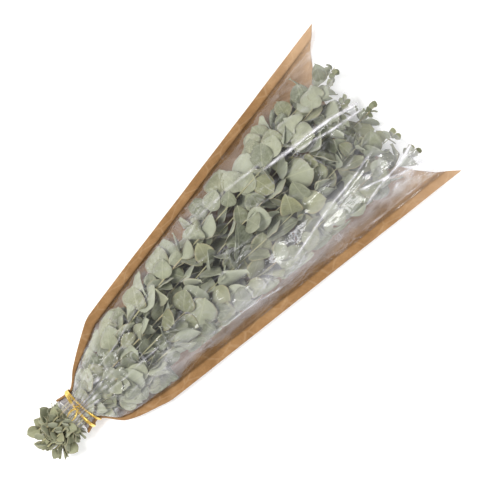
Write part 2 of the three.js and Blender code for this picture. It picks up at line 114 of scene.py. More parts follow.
class Nodes:
    """Short calls that build one material's node tree."""

    def __init__(self, name):
        self.material = bpy.data.materials.new(name)
        self.material.use_nodes = True
        self.tree = self.material.node_tree
        self.tree.nodes.clear()
        self.output = self.tree.nodes.new("ShaderNodeOutputMaterial")
        self.place = self.add("TexCoord").outputs["Object"]

    def add(self, kind, settings=None, **sockets):
        """A node with its properties and its input sockets set or linked."""
        node = self.tree.nodes.new("ShaderNode" + kind)
        for key, value in (settings or {}).items():
            setattr(node, key, value)
        for key, value in sockets.items():
            self.put(node, key, value)
        return node

    def put(self, node, key, value):
        """Sets or links one input: its name with _ for spaces, or i and its number."""
        numbered = key[0] == "i" and key[1:].isdigit()
        socket = node.inputs[int(key[1:]) if numbered else key.replace("_", " ")]
        if isinstance(value, bpy.types.NodeSocket):
            self.tree.links.new(value, socket)
        else:
            socket.default_value = value

    def maths(self, operation, a, b=0.0, clamp=False):
        settings = {"operation": operation, "use_clamp": clamp}
        return self.add("Math", settings, i0=a, i1=b).outputs[0]

    def times(self, a, b):
        return self.maths("MULTIPLY", a, b)

    def ramp(self, fac, stops):
        """A colour ramp through (position, colour) stops, a colour being a number or r, g, b."""
        node = self.add("ValToRGB", Fac=fac)
        elements = node.color_ramp.elements
        while len(elements) < len(stops):
            elements.new(1)
        for element, (position, colour) in zip(elements, stops):
            element.position = position
            grey = not hasattr(colour, "__len__")
            element.color = (colour, colour, colour, 1) if grey else (*colour, 1)
        return node.outputs["Color"]

    def mix(self, fac, a, b, blend="MIX"):
        settings = {"data_type": "RGBA", "blend_type": blend}
        return self.add("Mix", settings, i0=fac, i6=a, i7=b).outputs[2]

    def noise(self, scale, detail=3.0, rough=0.55, vector=None, distortion=0.0):
        node = self.add("TexNoise", Scale=scale, Detail=detail, Roughness=rough, Distortion=distortion)
        self.put(node, "Vector", vector or self.place)
        return node.outputs["Fac"]

    def stretched(self, scales, turn=0.0):
        """The object's coordinates turned about Z and scaled along each axis."""
        node = self.add("Mapping", Vector=self.place, Scale=scales, Rotation=(0, 0, turn))
        return node.outputs[0]

    def bump(self, height, strength, depth_mm, normal=None):
        node = self.add("Bump", Strength=strength, Distance=depth_mm * MM, Height=height)
        if normal:
            self.put(node, "Normal", normal)
        return node.outputs["Normal"]

    def finish(self, shader):
        self.tree.links.new(shader.outputs[0], self.output.inputs["Surface"])
        return self.material


# ---------- Numbers that look random ----------


def scatter(*keys):
    """From 0 to 1, and always the same for the same whole numbers. It is the CAD part's own rule."""
    h = 2166136261
    for key in keys:
        h = ((h ^ (key + 1)) * 16777619) & 0xFFFFFFFF
        h = ((h ^ (h >> 15)) * 2246822519) & 0xFFFFFFFF
    return ((h ^ (h >> 13)) & 0xFFFFFFFF) / 4294967296


def swing(*keys):
    return 2 * scatter(*keys) - 1


def mix(a, b, t):
    return a + (b - a) * t


def stacked(*parts):
    """Arrays of the same shape side by side: from x, y and z, an array of points."""
    return np.stack(parts, axis=-1)


def smooth(t):
    t = np.clip(t, 0, 1)
    return t * t * (3 - 2 * t)


NOISE_SHIFT = (17.3, -5.1, 3.7)  # between one seed's noise and the next


def rough_field(points, size, seed, octaves=3):
    """Smooth noise, about -1 to 1, at an array of points in millimetres."""
    shift = Vector([part * seed for part in NOISE_SHIFT])
    flat = points.reshape(-1, 3) / size
    values = [noise.fractal(Vector(p) + shift, 1.0, 2.0, octaves) for p in flat]
    return np.array(values).reshape(points.shape[:-1])


# ---------- Mesh helpers ----------


def to_frame(points):
    """From millimetres counted from the tie to the frame's metres."""
    return (np.asarray(points, float) + np.array([TIE.x, TIE.y, 0.0])) * MM


def from_frame(point):
    """From the frame's metres to millimetres counted from the tie."""
    return np.array(point) / MM - np.array([TIE.x, TIE.y, 0.0])


def make_piece(name, points, faces, material, replaces=()):
    """A piece of the object from points in millimetres, with its material, slot and CAD nodes."""
    mesh = bpy.data.meshes.new(name)
    mesh.from_pydata(to_frame(points).tolist(), [], faces)
    mesh.update()
    mesh.polygons.foreach_set("use_smooth", [True] * len(mesh.polygons))
    mesh.materials.append(material)
    piece = bpy.data.objects.new(name, mesh)
    bpy.context.scene.collection.objects.link(piece)
    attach(piece, "root")
    if replaces:
        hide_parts(*replaces)
    return piece


def write_point_data(piece, name, values):
    """Four numbers for each point of a piece, for its material to read."""
    layer = piece.data.color_attributes.new(name, "FLOAT_COLOR", "POINT")
    layer.data.foreach_set("color", values.reshape(-1))


def grid_faces(rows, columns, start=0, under=False):
    """Quads of a grid of points stored row by row, facing up where the rows run along X and Y."""
    faces = []
    for r in range(rows - 1):
        for c in range(columns - 1):
            a = start + r * columns + c
            quad = (a, a + columns, a + columns + 1, a + 1)
            faces.append(quad[::-1] if under else quad)
    return faces


def sheet_shell(points, thickness):
    """A closed sheet from a grid of points: (points, faces), with the grid as its upper side."""
    rows, columns, _ = points.shape
    along = np.gradient(points, axis=0)
    across = np.gradient(points, axis=1)
    normal = np.cross(along, across)
    normal /= np.linalg.norm(normal, axis=2, keepdims=True) + 1e-9
    under = points - normal * thickness
    count = rows * columns
    faces = grid_faces(rows, columns) + grid_faces(rows, columns, count, under=True)
    rim = list(range(columns))
    rim += [r * columns + columns - 1 for r in range(1, rows)]
    rim += [(rows - 1) * columns + c for c in range(columns - 2, -1, -1)]
    rim += [r * columns for r in range(rows - 2, 0, -1)]
    for a, b in zip(rim, rim[1:] + rim[:1]):
        faces.append((a, b, b + count, a + count))
    return np.concatenate([points.reshape(-1, 3), under.reshape(-1, 3)]), faces


def tube(path, radii, sides):
    """A round tube along a path, closed at both ends: (points, faces)."""
    path = np.asarray(path, float)
    tangents = np.gradient(path, axis=0)
    tangents /= np.linalg.norm(tangents, axis=1, keepdims=True)
    side = np.cross(tangents, [0, 0.1, 1.0])
    side /= np.linalg.norm(side, axis=1, keepdims=True)
    up = np.cross(side, tangents)
    turns = np.linspace(0, 2 * math.pi, sides, endpoint=False)
    rings = (
        path[:, None]
        + side[:, None] * (np.cos(turns)[None, :, None] * radii[:, None, None])
        + up[:, None] * (np.sin(turns)[None, :, None] * radii[:, None, None])
    )
    faces = []
    for r in range(len(path) - 1):
        for s in range(sides):
            a, b = r * sides + s, r * sides + (s + 1) % sides
            faces.append((a, a + sides, b + sides, b))
    faces.append(tuple(range(sides)))
    faces.append(tuple(range((len(path) - 1) * sides, len(path) * sides))[::-1])
    return rings.reshape(-1, 3), faces


# ---------- The sleeve's shape: the same sizes and curves as the CAD part's ----------

GAP = 0.3
PAPER_THICKNESS = 0.5
SKIRT_LENGTH = 20
MOUTH_AT = 621
PAPER_DIP = 75
FILM_DIP = 40
NECK_HALF_WIDTH = 30
NECK_HEIGHT = 44
SHOULDER_AT = 90
SHOULDER_HALF_WIDTH = 84
MOUTH_HALF_WIDTH = 150
BODY_HEIGHT = 76
SEAM_HEIGHT = 12
HEM = 15
NECK_HEM = 3
RIBBON_THICKNESS = 0.8
CORNER = 8  # half the length of the bend at each shoulder
FLOOR_HASTE = 1.4  # how much sooner the paper comes down to the floor than the sleeve opens
MOUTH_CURVE = 2.5

MIDDLE_AT = (SHOULDER_AT + MOUTH_AT) / 2
SHOULDER_HEIGHT = NECK_HEIGHT + 0.72 * (BODY_HEIGHT - NECK_HEIGHT)
MOUTH_HEIGHT = 0.96 * BODY_HEIGHT
NECK_REST = RIBBON_THICKNESS + 2 * GAP
NECK_CENTRE = NECK_REST + NECK_HEIGHT / 2
FLAT_NECK = 7
CORNER_SHARE = 1 - CORNER / (SHOULDER_AT * (2 / 3))


def along(stations, x):
    """A smooth curve through (x, value) stations, level past both ends, at an array of x."""
    xs, values = np.array(stations, float).T
    inner = (values[2:] - values[:-2]) / (xs[2:] - xs[:-2])
    first = (values[1] - values[0]) / (xs[1] - xs[0])
    last = (values[-1] - values[-2]) / (xs[-1] - xs[-2])
    slopes = np.concatenate([[first], inner, [last]])
    x = np.clip(np.asarray(x, float), xs[0], xs[-1])
    i = np.clip(np.searchsorted(xs, x, side="right") - 1, 0, len(xs) - 2)
    span = xs[i + 1] - xs[i]
    t = (x - xs[i]) / span
    return (
        (2 * t**3 - 3 * t**2 + 1) * values[i]
        + (t**3 - 2 * t**2 + t) * span * slopes[i]
        + (3 * t**2 - 2 * t**3) * values[i + 1]
        + (t**3 - t**2) * span * slopes[i + 1]
    )


def edge_stations(bulge):
    """The sleeve's half width along it. A bulge of 0 leaves the neck late, and 1 early."""
    shoulder_rise = mix(bulge, 1, CORNER_SHARE)
    return [
        (-SKIRT_LENGTH, 1.1 * NECK_HALF_WIDTH),
        (-FLAT_NECK, NECK_HALF_WIDTH),
        (FLAT_NECK, NECK_HALF_WIDTH),
        (SHOULDER_AT / 3, mix(NECK_HALF_WIDTH, SHOULDER_HALF_WIDTH, bulge)),
        (SHOULDER_AT - CORNER, mix(NECK_HALF_WIDTH, SHOULDER_HALF_WIDTH, shoulder_rise)),
        (SHOULDER_AT + CORNER, SHOULDER_HALF_WIDTH + 1),
        (MIDDLE_AT, (SHOULDER_HALF_WIDTH + MOUTH_HALF_WIDTH) / 2),
        (MOUTH_AT, MOUTH_HALF_WIDTH),
    ]


LEFT_EDGE = edge_stations(0.34)
RIGHT_EDGE = edge_stations(0.52)
CEILING = [
    (-SKIRT_LENGTH, NECK_REST + NECK_HEIGHT + 1),
    (-FLAT_NECK, NECK_REST + NECK_HEIGHT),
    (FLAT_NECK, NECK_REST + NECK_HEIGHT),
    (SHOULDER_AT, SHOULDER_HEIGHT),
    (MIDDLE_AT, BODY_HEIGHT),
    (MOUTH_AT, MOUTH_HEIGHT),
]


def openness(x):
    """From 0 at the tie to 1 at the shoulder."""
    return smooth(np.asarray(x, float) / SHOULDER_AT)


def half_width(x, side):
    return np.where(side > 0, along(LEFT_EDGE, x), along(RIGHT_EDGE, x))


def inner_half_width(x, side):
    return half_width(x, side) - mix(NECK_HEM, HEM, openness(x))


def floor_height(x):
    return NECK_REST * (1 - openness(FLOOR_HASTE * np.asarray(x, float)))


def seam_height(x):
    return mix(NECK_CENTRE, SEAM_HEIGHT, openness(x))


def bellied(share, x, power, roundness):
    """A cross-section's height at a share of its half width: an ellipse at the tie, then fuller."""
    opened = openness(x)
    base = np.maximum(0, 1 - np.abs(share) ** mix(2, power, opened))
    return base ** mix(0.5, roundness, opened)


def paper_under(x, share):
    depth = (seam_height(x) - floor_height(x)) * mix(1, 1.25, openness(x))
    return np.maximum(floor_height(x), seam_height(x) - depth * bellied(share, x, 6, 1))


def film_over(x, share):
    bottom = seam_height(x) + PAPER_THICKNESS + 2 * GAP
    return bottom + (along(CEILING, x) - bottom) * bellied(share, x, 2.4, 1.15)


def sheet_x(x, share, dip):
    """A sheet is drawn back evenly to its mouth's curved edge."""
    stretch = np.clip((x - SHOULDER_AT) / (MOUTH_AT - SHOULDER_AT), 0, 1)
    return x - dip * (1 - np.abs(share) ** MOUTH_CURVE) * stretch


# ---------- Leaves, read from the CAD sprigs ----------

CAD_LEAF_THICKNESS = 1.0
CAD_LEAF_SIDE = 0.98  # how far a CAD blade's corners reach, as a share of its half width
GRID_PER_MM = 200  # points nearer than a two-hundredth of a millimetre are one point
THICKNESS_SLACK = 0.02  # how far two opposite middle points may be from that thickness
RIM_POINTS = 5  # the fewest neighbours that a CAD leaf's two middle points share
NOT_FLAT = 0.3  # points this far out of a leaf's plane aren't its rim


def weld(node):
    """A CAD node's points in millimetres from the tie, and each point's neighbours."""
    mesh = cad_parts[node].data
    co = np.zeros(len(mesh.vertices) * 3)
    mesh.vertices.foreach_get("co", co)
    co = co.reshape(-1, 3) / MM - np.array([TIE.x, TIE.y, 0.0])
    keys = np.round(co * GRID_PER_MM).astype(np.int64)
    _, first, inverse = np.unique(keys, axis=0, return_index=True, return_inverse=True)
    inverse = inverse.reshape(-1)
    neighbours = [set() for _ in first]
    for a, b in np.array([tuple(e.vertices) for e in mesh.edges]):
        a, b = int(inverse[a]), int(inverse[b])
        if a != b:
            neighbours[a].add(b)
            neighbours[b].add(a)
    return co[first], neighbours


def read_leaves(node):
    """Every leaf of a CAD sprig: its middle, half its length and width, its axis and its normal."""
    points, neighbours = weld(node)
    leaves = []
    busy = [i for i, near in enumerate(neighbours) if len(near) > RIM_POINTS]
    for i in busy:
        for j in busy:
            apart = np.linalg.norm(points[i] - points[j])
            if j <= i or abs(apart - CAD_LEAF_THICKNESS) > THICKNESS_SLACK:
                continue
            rim = sorted(neighbours[i] & neighbours[j])
            if len(rim) < RIM_POINTS or j in neighbours[i]:
                continue
            middle = (points[i] + points[j]) / 2
            normal = (points[i] - points[j]) / CAD_LEAF_THICKNESS
            spokes = points[rim] - middle
            if abs(spokes @ normal).max() > NOT_FLAT:
                continue
            tip = spokes[np.linalg.norm(spokes, axis=1).argmax()]
            long = np.linalg.norm(tip)
            axis = tip / long
            across = np.cross(normal, axis)
            wide = abs(spokes @ across).max() / CAD_LEAF_SIDE
            leaves.append(
                {"middle": middle, "axis": axis, "normal": normal, "long": long, "wide": wide}
            )
    leaves.sort(key=lambda leaf: (leaf["middle"] - leaf["axis"] * leaf["long"])[0])
    return leaves


# ---------- Sprigs ----------

ROWS = [(3, -1, 0.78), (5, 0, 1.0), (4, 1, 0.8)]  # count, level and spread, from the paper up
CUT_END = 76
CUT_SPREAD = 14
TIP_INSET = 20
TIP_SPREAD = 80
STEM_WAVE = 3
LONGEST_TIP = MOUTH_AT - TIP_INSET
NECK_PITCH = 0.293 * NECK_HALF_WIDTH
ROW_PITCH = 0.24 * NECK_HEIGHT
FAN_HALF_WIDTH = 0.56 * MOUTH_HALF_WIDTH
FAN_ROW_PITCH = 0.21 * BODY_HEIGHT


def sprig_list():
    """Each sprig's row, its place at the neck and at the mouth, and its two ends."""
    sprigs = []
    for count, level, spread in ROWS:
        for j in range(count):
            n = len(sprigs)
            offset = j - (count - 1) / 2
            sprigs.append(
                {
                    "level": level,
                    "neck_y": offset * NECK_PITCH,
                    "fan_y": offset / ((count - 1) / 2) * spread * FAN_HALF_WIDTH,
                    "cut": -CUT_END + CUT_SPREAD * scatter(n, 1),
                    "tip": LONGEST_TIP - TIP_SPREAD * (1 - scatter(n, 2)),
                    "phase": 2 * math.pi * scatter(n, 3),
                }
            )
    return sprigs


def stem_point(sprig, x):
    """Points on a sprig's stem at an array of x: the CAD part's own curve."""
    x = np.asarray(x, float)
    fan = np.clip(x / LONGEST_TIP, 0, 1)
    flare = 1 + 0.2 * np.clip(-x / CUT_END, 0, 1)
    wave = STEM_WAVE * np.clip(x / 150, 0, 1)
    freed = smooth(x / SHOULDER_AT)
    fan_z = BODY_HEIGHT / 2 - NECK_CENTRE + sprig["level"] * FAN_ROW_PITCH
    y = mix(sprig["neck_y"] * flare, sprig["fan_y"], freed * fan**0.66)
    z = NECK_CENTRE + mix(sprig["level"] * ROW_PITCH * flare, fan_z, freed * fan**0.6)
    y = y + wave * np.sin(x / 70 + sprig["phase"])
    z = z + 0.6 * wave * np.cos(x / 55 + sprig["phase"])
    return stacked(x, y, z)


# ---------- Blades ----------

LEAF_ROWS = 15  # along a leaf, from its base to its tip
LEAF_COLUMNS = 8
ROW_CROWDING = 0.55  # of the rows towards both ends of a leaf
LEAF_THICKNESS = 0.45
PETIOLE = 0.07  # the narrow stalk, as a share of a leaf's length
BLADE_END = 0.965  # where the small point begins
THINNEST = 0.035  # the stalk's half width, as a share of the leaf's
# Forms of a blade, as shares of its length.
CUPPED = (-0.03, 0.2)
FOLDED = (0.0, 0.16)
CURLED = 0.2
CURLED_BACK = 0.03
WARPED = 0.14
SKEWED = 0.06
RIPPLE = 0.026
FINE_RIPPLE = 0.010


def leaf_outline(s):
    """A leaf's half width at a share of its length, as a share of its greatest."""
    t = np.clip((s - PETIOLE) / (BLADE_END - PETIOLE), 0, 1)
    return np.maximum(THINNEST, np.sin(math.pi * t**0.88) ** 0.52 * (1 - 0.16 * t**4))


CLEAR_START = 44  # from the -Y hem, where the leaves begin to be held back
CLEAR_STRIP = 14  # of bare paper along the -Y hem
NARROW = 20  # a sleeve narrower than this has no bare strip
FREED_OVER = 8  # the stretch behind the tie where the sleeve lets the leaves go


def pressed(points):
    """Leaf points held between the paper and the film, and off the floor behind the tie."""
    x, y, z = points[..., 0], points[..., 1], points[..., 2]
    margin = mix(2, 4, openness(x))
    inner = inner_half_width(x, y) - margin
    held = np.clip((x + SKIRT_LENGTH + 2) / FREED_OVER, 0, 1)
    y = mix(y, np.clip(y, -inner, inner), held)
    slack = (inner - CLEAR_START) * openness(x / 2) * held
    beyond = np.maximum(0, -y - slack)
    drawn = (CLEAR_START - CLEAR_STRIP) * np.tanh(beyond / (CLEAR_START - CLEAR_STRIP))
    y = np.where((slack > NARROW) & (beyond > 0), -slack - drawn, y)
    share = np.clip(np.abs(y) / (inner + margin), 0, 1)
    low = paper_under(x, share) + PAPER_THICKNESS + 1
    high = np.maximum(film_over(x, share) - 1.2, low + 1)
    z = mix(np.maximum(z, 1.0), np.clip(z, low, high), held)
    return stacked(x, y, z)


def blade_grid():
    """The share along and the share across at each point of a blade's grid."""
    u = np.linspace(0, 1, LEAF_ROWS)
    s = mix(u, (1 - np.cos(math.pi * u)) / 2, ROW_CROWDING)
    return np.meshgrid(s, np.linspace(-1, 1, LEAF_COLUMNS), indexing="ij")


def blade(leaf, keys, growth):
    """The middle surface of a curled leaf, as a grid of points from its base to its tip."""
    s, v = blade_grid()
    length = 2 * leaf["long"] * growth
    reach = np.abs(v) * leaf_outline(s)

    cup = mix(*CUPPED, scatter(*keys, 31))
    curl = CURLED * swing(*keys, 32) - CURLED_BACK
    fold = mix(*FOLDED, scatter(*keys, 33))
    warp = WARPED * swing(*keys, 34)
    phase = 2 * math.pi * scatter(*keys, 35)
    height = cup * reach**2 + fold * reach * 0.6 + curl * (s**2 - 0.3 * s) + warp * v * s * 0.6
    height += RIPPLE * reach**2 * np.sin(9 * s + 2.2 * v + phase)
    height += FINE_RIPPLE * np.sin(17 * s + 5 * v + 2 * phase) * reach
    skew = SKEWED * swing(*keys, 36) * length * s**2
    narrowed = leaf["wide"] * growth * (1 - 0.5 * abs(cup)) * leaf_outline(s)
    return (
        leaf["base"]
        + leaf["axis"] * (s * length * (1 - 0.25 * abs(curl)))[..., None]
        + leaf["across"] * (v * narrowed + skew)[..., None]
        + leaf["upper"] * (height * length)[..., None]
    )


# ---------- Foliage ----------

LEAF_LENGTH = 42
LEAF_BREADTH = 0.45  # half a leaf's width, as a share of its length
GROWTHS = (1.3, 1.2, 1.1, 1.0, 0.9)  # sizes to try for a curled blade, over the flat CAD one's
BUTT_LEAF_SIZE = 0.76  # behind the tie, over the CAD leaf's
TIP_LENGTH = 14
TIP_LEAF_SIZE = 0.62
# Leaves that fill out a sprig.
FILLER_STEP = 15
NECK_FILLER_STEP = 8
NECK_END = 95
FILLER_TRIES = 12
SHRINK = 0.96  # from one try to the next
YOUNG_LENGTH = 60  # the stretch below a tip where leaves are still small
FULL_SIZE_AT = 110
NECK_SIZE = 0.72
BUTT_SIZE = 0.44
TIP_SIZE = 0.26
SIZES = (0.78, 1.16)
BUTT_SIZES = (0.5, 1.45)
BUTT_FILLERS = 14
BUTT_FILLER_STEP = 4
TIP_FILLERS = 7
TIP_FILLER_STEP = 2
FIRST_FILLER_KEY = 500  # for their random numbers, past every CAD leaf's
OUTER_SPRIG = 55  # a sprig further out than this at the mouth turns most leaves outward
INWARD_SHARE = 0.35
# Angles in degrees: away from the stem's own direction, up from level, and of the face from level.
LEANS = (30, 92)
BUTT_LEANS = (60, 165)
MIDDLE_RISE = 8
RISE_PER_ROW = 14
RISES = 32
BUTT_RISES = 55
TWISTS = (34, 78)
STALK_START = 0.6  # from the stem's middle line

BLADE_QUADS = grid_faces(LEAF_ROWS - 2, LEAF_COLUMNS)
HEART = 0.72  # the part of a blade that no other may cross


class Foliage:
    """The blades placed so far, and a test that a new one passes through none of them."""

    def __init__(self, stem_trees):
        self.stem_trees = stem_trees
        self.blades = []
        self.middles = np.zeros((0, 3))
        self.reaches = np.zeros(0)

    def place(self, sprig_number, keys, points, even_if_crossed=False, loose=False):
        """Keeps a blade unless it crosses another. A loose one may brush others with its rim."""
        tree = BVHTree.FromPolygons(points[2:].reshape(-1, 3).tolist(), BLADE_QUADS)
        middle = points.reshape(-1, 3).mean(axis=0)
        reach = np.linalg.norm(points.reshape(-1, 3) - middle, axis=1).max()
        if not even_if_crossed:
            probe = tree
            if loose:
                heart = mix(middle, points[2:], HEART)
                probe = BVHTree.FromPolygons(heart.reshape(-1, 3).tolist(), BLADE_QUADS)
            apart = np.linalg.norm(self.middles - middle, axis=1)
            for k in np.nonzero(apart < self.reaches + reach)[0]:
                if probe.overlap(self.blades[k]["tree"]):
                    return False
            for number, stem in enumerate(self.stem_trees):
                if number != sprig_number and probe.overlap(stem):
                    return False
        self.blades.append({"tree": tree, "points": points, "sprig": sprig_number, "keys": keys})
        self.middles = np.vstack([self.middles, middle])
        self.reaches = np.append(self.reaches, reach)
        return True


def stem_direction(sprig, x):
    ends = stem_point(sprig, np.array([x - 1.0, x + 1.0]))
    return unit(ends[1] - ends[0])


def unit(v):
    return v / np.linalg.norm(v)


def cad_leaf(leaf, sprig):
    """A CAD leaf with its base, and its upper side turned to the stem ahead of it."""
    base = leaf["middle"] - leaf["axis"] * leaf["long"]
    ahead = stem_direction(sprig, base[0])
    upper = leaf["normal"] * (1 if leaf["normal"] @ ahead > 0 else -1)
    return {**leaf, "base": base, "upper": upper, "across": np.cross(upper, leaf["axis"])}


def filler_leaf(sprig, x, keys, attempt):
    """A leaf held out sideways from a stem, its face more or less up."""
    behind = x < 0
    stem = stem_direction(sprig, x)
    side = 1 if scatter(*keys, 1) > 0.5 else -1
    if abs(sprig["fan_y"]) > OUTER_SPRIG and scatter(*keys, 2) > INWARD_SHARE:
        side = 1 if sprig["fan_y"] > 0 else -1
    leans, rises, sizes = (BUTT_LEANS, BUTT_RISES, BUTT_SIZES) if behind else (LEANS, RISES, SIZES)
    lean = math.radians(mix(*leans, scatter(*keys, attempt, 3)))
    row_rise = MIDDLE_RISE + RISE_PER_ROW * sprig["level"]
    rise = math.radians(row_rise + rises * swing(*keys, attempt, 4))
    sideways = unit(np.cross([0, 0, 1], stem)) * side
    up = unit(np.cross(stem, sideways) * side)
    out = sideways * math.cos(rise) + up * math.sin(rise)
    axis = unit(stem * math.cos(lean) + out * math.sin(lean))
    across = unit(np.cross([0, 0, 1], axis))
    upper = unit(np.cross(axis, across))
    widest_twist = TWISTS[1] if behind or scatter(*keys, 8) < 0.5 else TWISTS[0]
    twist = math.radians(widest_twist * swing(*keys, attempt, 5))
    upper, across = (
        upper * math.cos(twist) + across * math.sin(twist),
        across * math.cos(twist) - upper * math.sin(twist),
    )
    grown = mix(0.5, 1, float(smooth((sprig["tip"] - x) / YOUNG_LENGTH)))
    if x > sprig["tip"] - TIP_LENGTH:
        grown = TIP_SIZE
    tight = mix(BUTT_SIZE if behind else NECK_SIZE, 1, float(smooth(x / FULL_SIZE_AT)))
    size = grown * tight * mix(*sizes, scatter(*keys, 6)) * SHRINK**attempt
    base = stem_point(sprig, np.array([x]))[0] + axis * STALK_START
    return {
        "long": size * LEAF_LENGTH / 2,
        "wide": size * LEAF_LENGTH * LEAF_BREADTH,
        "base": base,
        "axis": axis,
        "upper": upper,
        "across": across,
    }


def grow_cad_leaves(foliage, sprigs, nodes):
    """One blade for each CAD leaf, as large as its neighbours let it be."""
    wanted = [
        (number, k, cad_leaf(leaf, sprig))
        for number, (sprig, node) in enumerate(zip(sprigs, nodes))
        for k, leaf in enumerate(read_leaves(node))
    ]
    wanted.sort(key=lambda item: item[2]["base"][0])
    for number, k, leaf in wanted:
        place = leaf["base"][0]
        size = TIP_LEAF_SIZE if place > sprigs[number]["tip"] - TIP_LENGTH else 1
        size = BUTT_LEAF_SIZE if place < 0 else size
        for growth in GROWTHS:
            points = pressed(blade(leaf, (number, k), growth * size))
            if foliage.place(number, (number, k), points, growth == GROWTHS[-1]):
                break


def filler_places(number, sprig):
    """Where along a sprig more leaves are tried: behind the tie, at the tip, then all along."""
    places = [sprig["cut"] + 3 + BUTT_FILLER_STEP * j for j in range(BUTT_FILLERS)]
    places += [sprig["tip"] - TIP_FILLER_STEP * j for j in range(TIP_FILLERS)]
    x = 6 + 5 * scatter(number, 70)
    while x < sprig["tip"] - TIP_LENGTH:
        places.append(x)
        step = NECK_FILLER_STEP if x < NECK_END else FILLER_STEP
        x += step * mix(0.7, 1.3, scatter(number, 71, len(places)))
    return places


def grow_fillers(foliage, number, sprig):
    """More leaves on one sprig, wherever one of a few tries finds room."""
    for j, x in enumerate(filler_places(number, sprig)):
        keys = (number, FIRST_FILLER_KEY + j)
        for attempt in range(FILLER_TRIES):
            points = blade(filler_leaf(sprig, x, keys, attempt), keys, 1.0)
            if x < 0 and points[..., 0].max() > -SKIRT_LENGTH + 2:
                continue
            if foliage.place(number, keys, pressed(points), loose=True):
                break


def grow_foliage(sprigs, nodes):
    """Every blade of every sprig: one for each CAD leaf, then others where there is room."""
    stems = [stem_mesh(sprig) for sprig in sprigs]
    foliage = Foliage([BVHTree.FromPolygons(points.tolist(), faces) for points, faces in stems])
    grow_cad_leaves(foliage, sprigs, nodes)
    for number, sprig in enumerate(sprigs):
        grow_fillers(foliage, number, sprig)
    return foliage


STEM_STATIONS = 200
STEM_SIDES = 9
STEM_PAST_TIP = 4
STEM_RADII = (1.6, 0.45)
STEM_SWELLING = 0.22


def stem_mesh(sprig):
    """A tapering stem with small swellings: (points, faces)."""
    end = sprig["tip"] + STEM_PAST_TIP
    x = np.linspace(sprig["cut"], end, STEM_STATIONS)
    path = stem_point(sprig, x)
    share = (x - sprig["cut"]) / (end - sprig["cut"])
    radii = mix(*STEM_RADII, share**0.8)
    radii = radii + STEM_SWELLING * np.maximum(0, np.sin(x / 7 + sprig["phase"])) ** 12
    return tube(path, radii, STEM_SIDES)


def build_sprig(number, sprig, node, blades, leaf_look, stem_look):
    """Meshes for one sprig's blades and its stem. leaf_data holds tone, dryness, underside, edge."""
    points, faces, uvs, data = [], [], [], []
    s, v = blade_grid()
    uv = stacked(s, (v * leaf_outline(s) + 1) / 2).reshape(-1, 2)
    count = LEAF_ROWS * LEAF_COLUMNS
    for index, found in enumerate(blades):
        shell, quads = sheet_shell(found["points"], LEAF_THICKNESS)
        faces += [tuple(2 * count * index + i for i in quad) for quad in quads]
        points.append(shell)
        uvs += [uv, uv]
        values = np.zeros((2 * count, 4))
        behind = found["points"][0, 0, 0] < 0
        # Behind the tie the tone starts higher: painted light that lightens the leaves lying in the
        # shade of the gathered butt.
        values[:, 0] = mix(0.5 if behind else 0, 1, scatter(*found["keys"], 41))
        values[:, 1] = mix(0.7 if behind else 0, 1, scatter(*found["keys"], 42))
        values[count:, 2] = 1
        values[:, 3] = np.tile(np.abs(v).reshape(-1), 2)
        data.append(values)
    leaves = make_piece(
        node + "_leaves", np.concatenate(points), faces, leaf_look, [node]
    )
    layer = leaves.data.uv_layers.new(name="leaf_uv")
    corners = np.zeros(len(leaves.data.loops), np.int32)
    leaves.data.loops.foreach_get("vertex_index", corners)
    layer.data.foreach_set("uv", np.concatenate(uvs)[corners].reshape(-1))
    write_point_data(leaves, "leaf_data", np.concatenate(data))
    stem_points, stem_faces = stem_mesh(sprig)
    make_piece(node + "_stem", stem_points, stem_faces, stem_look)


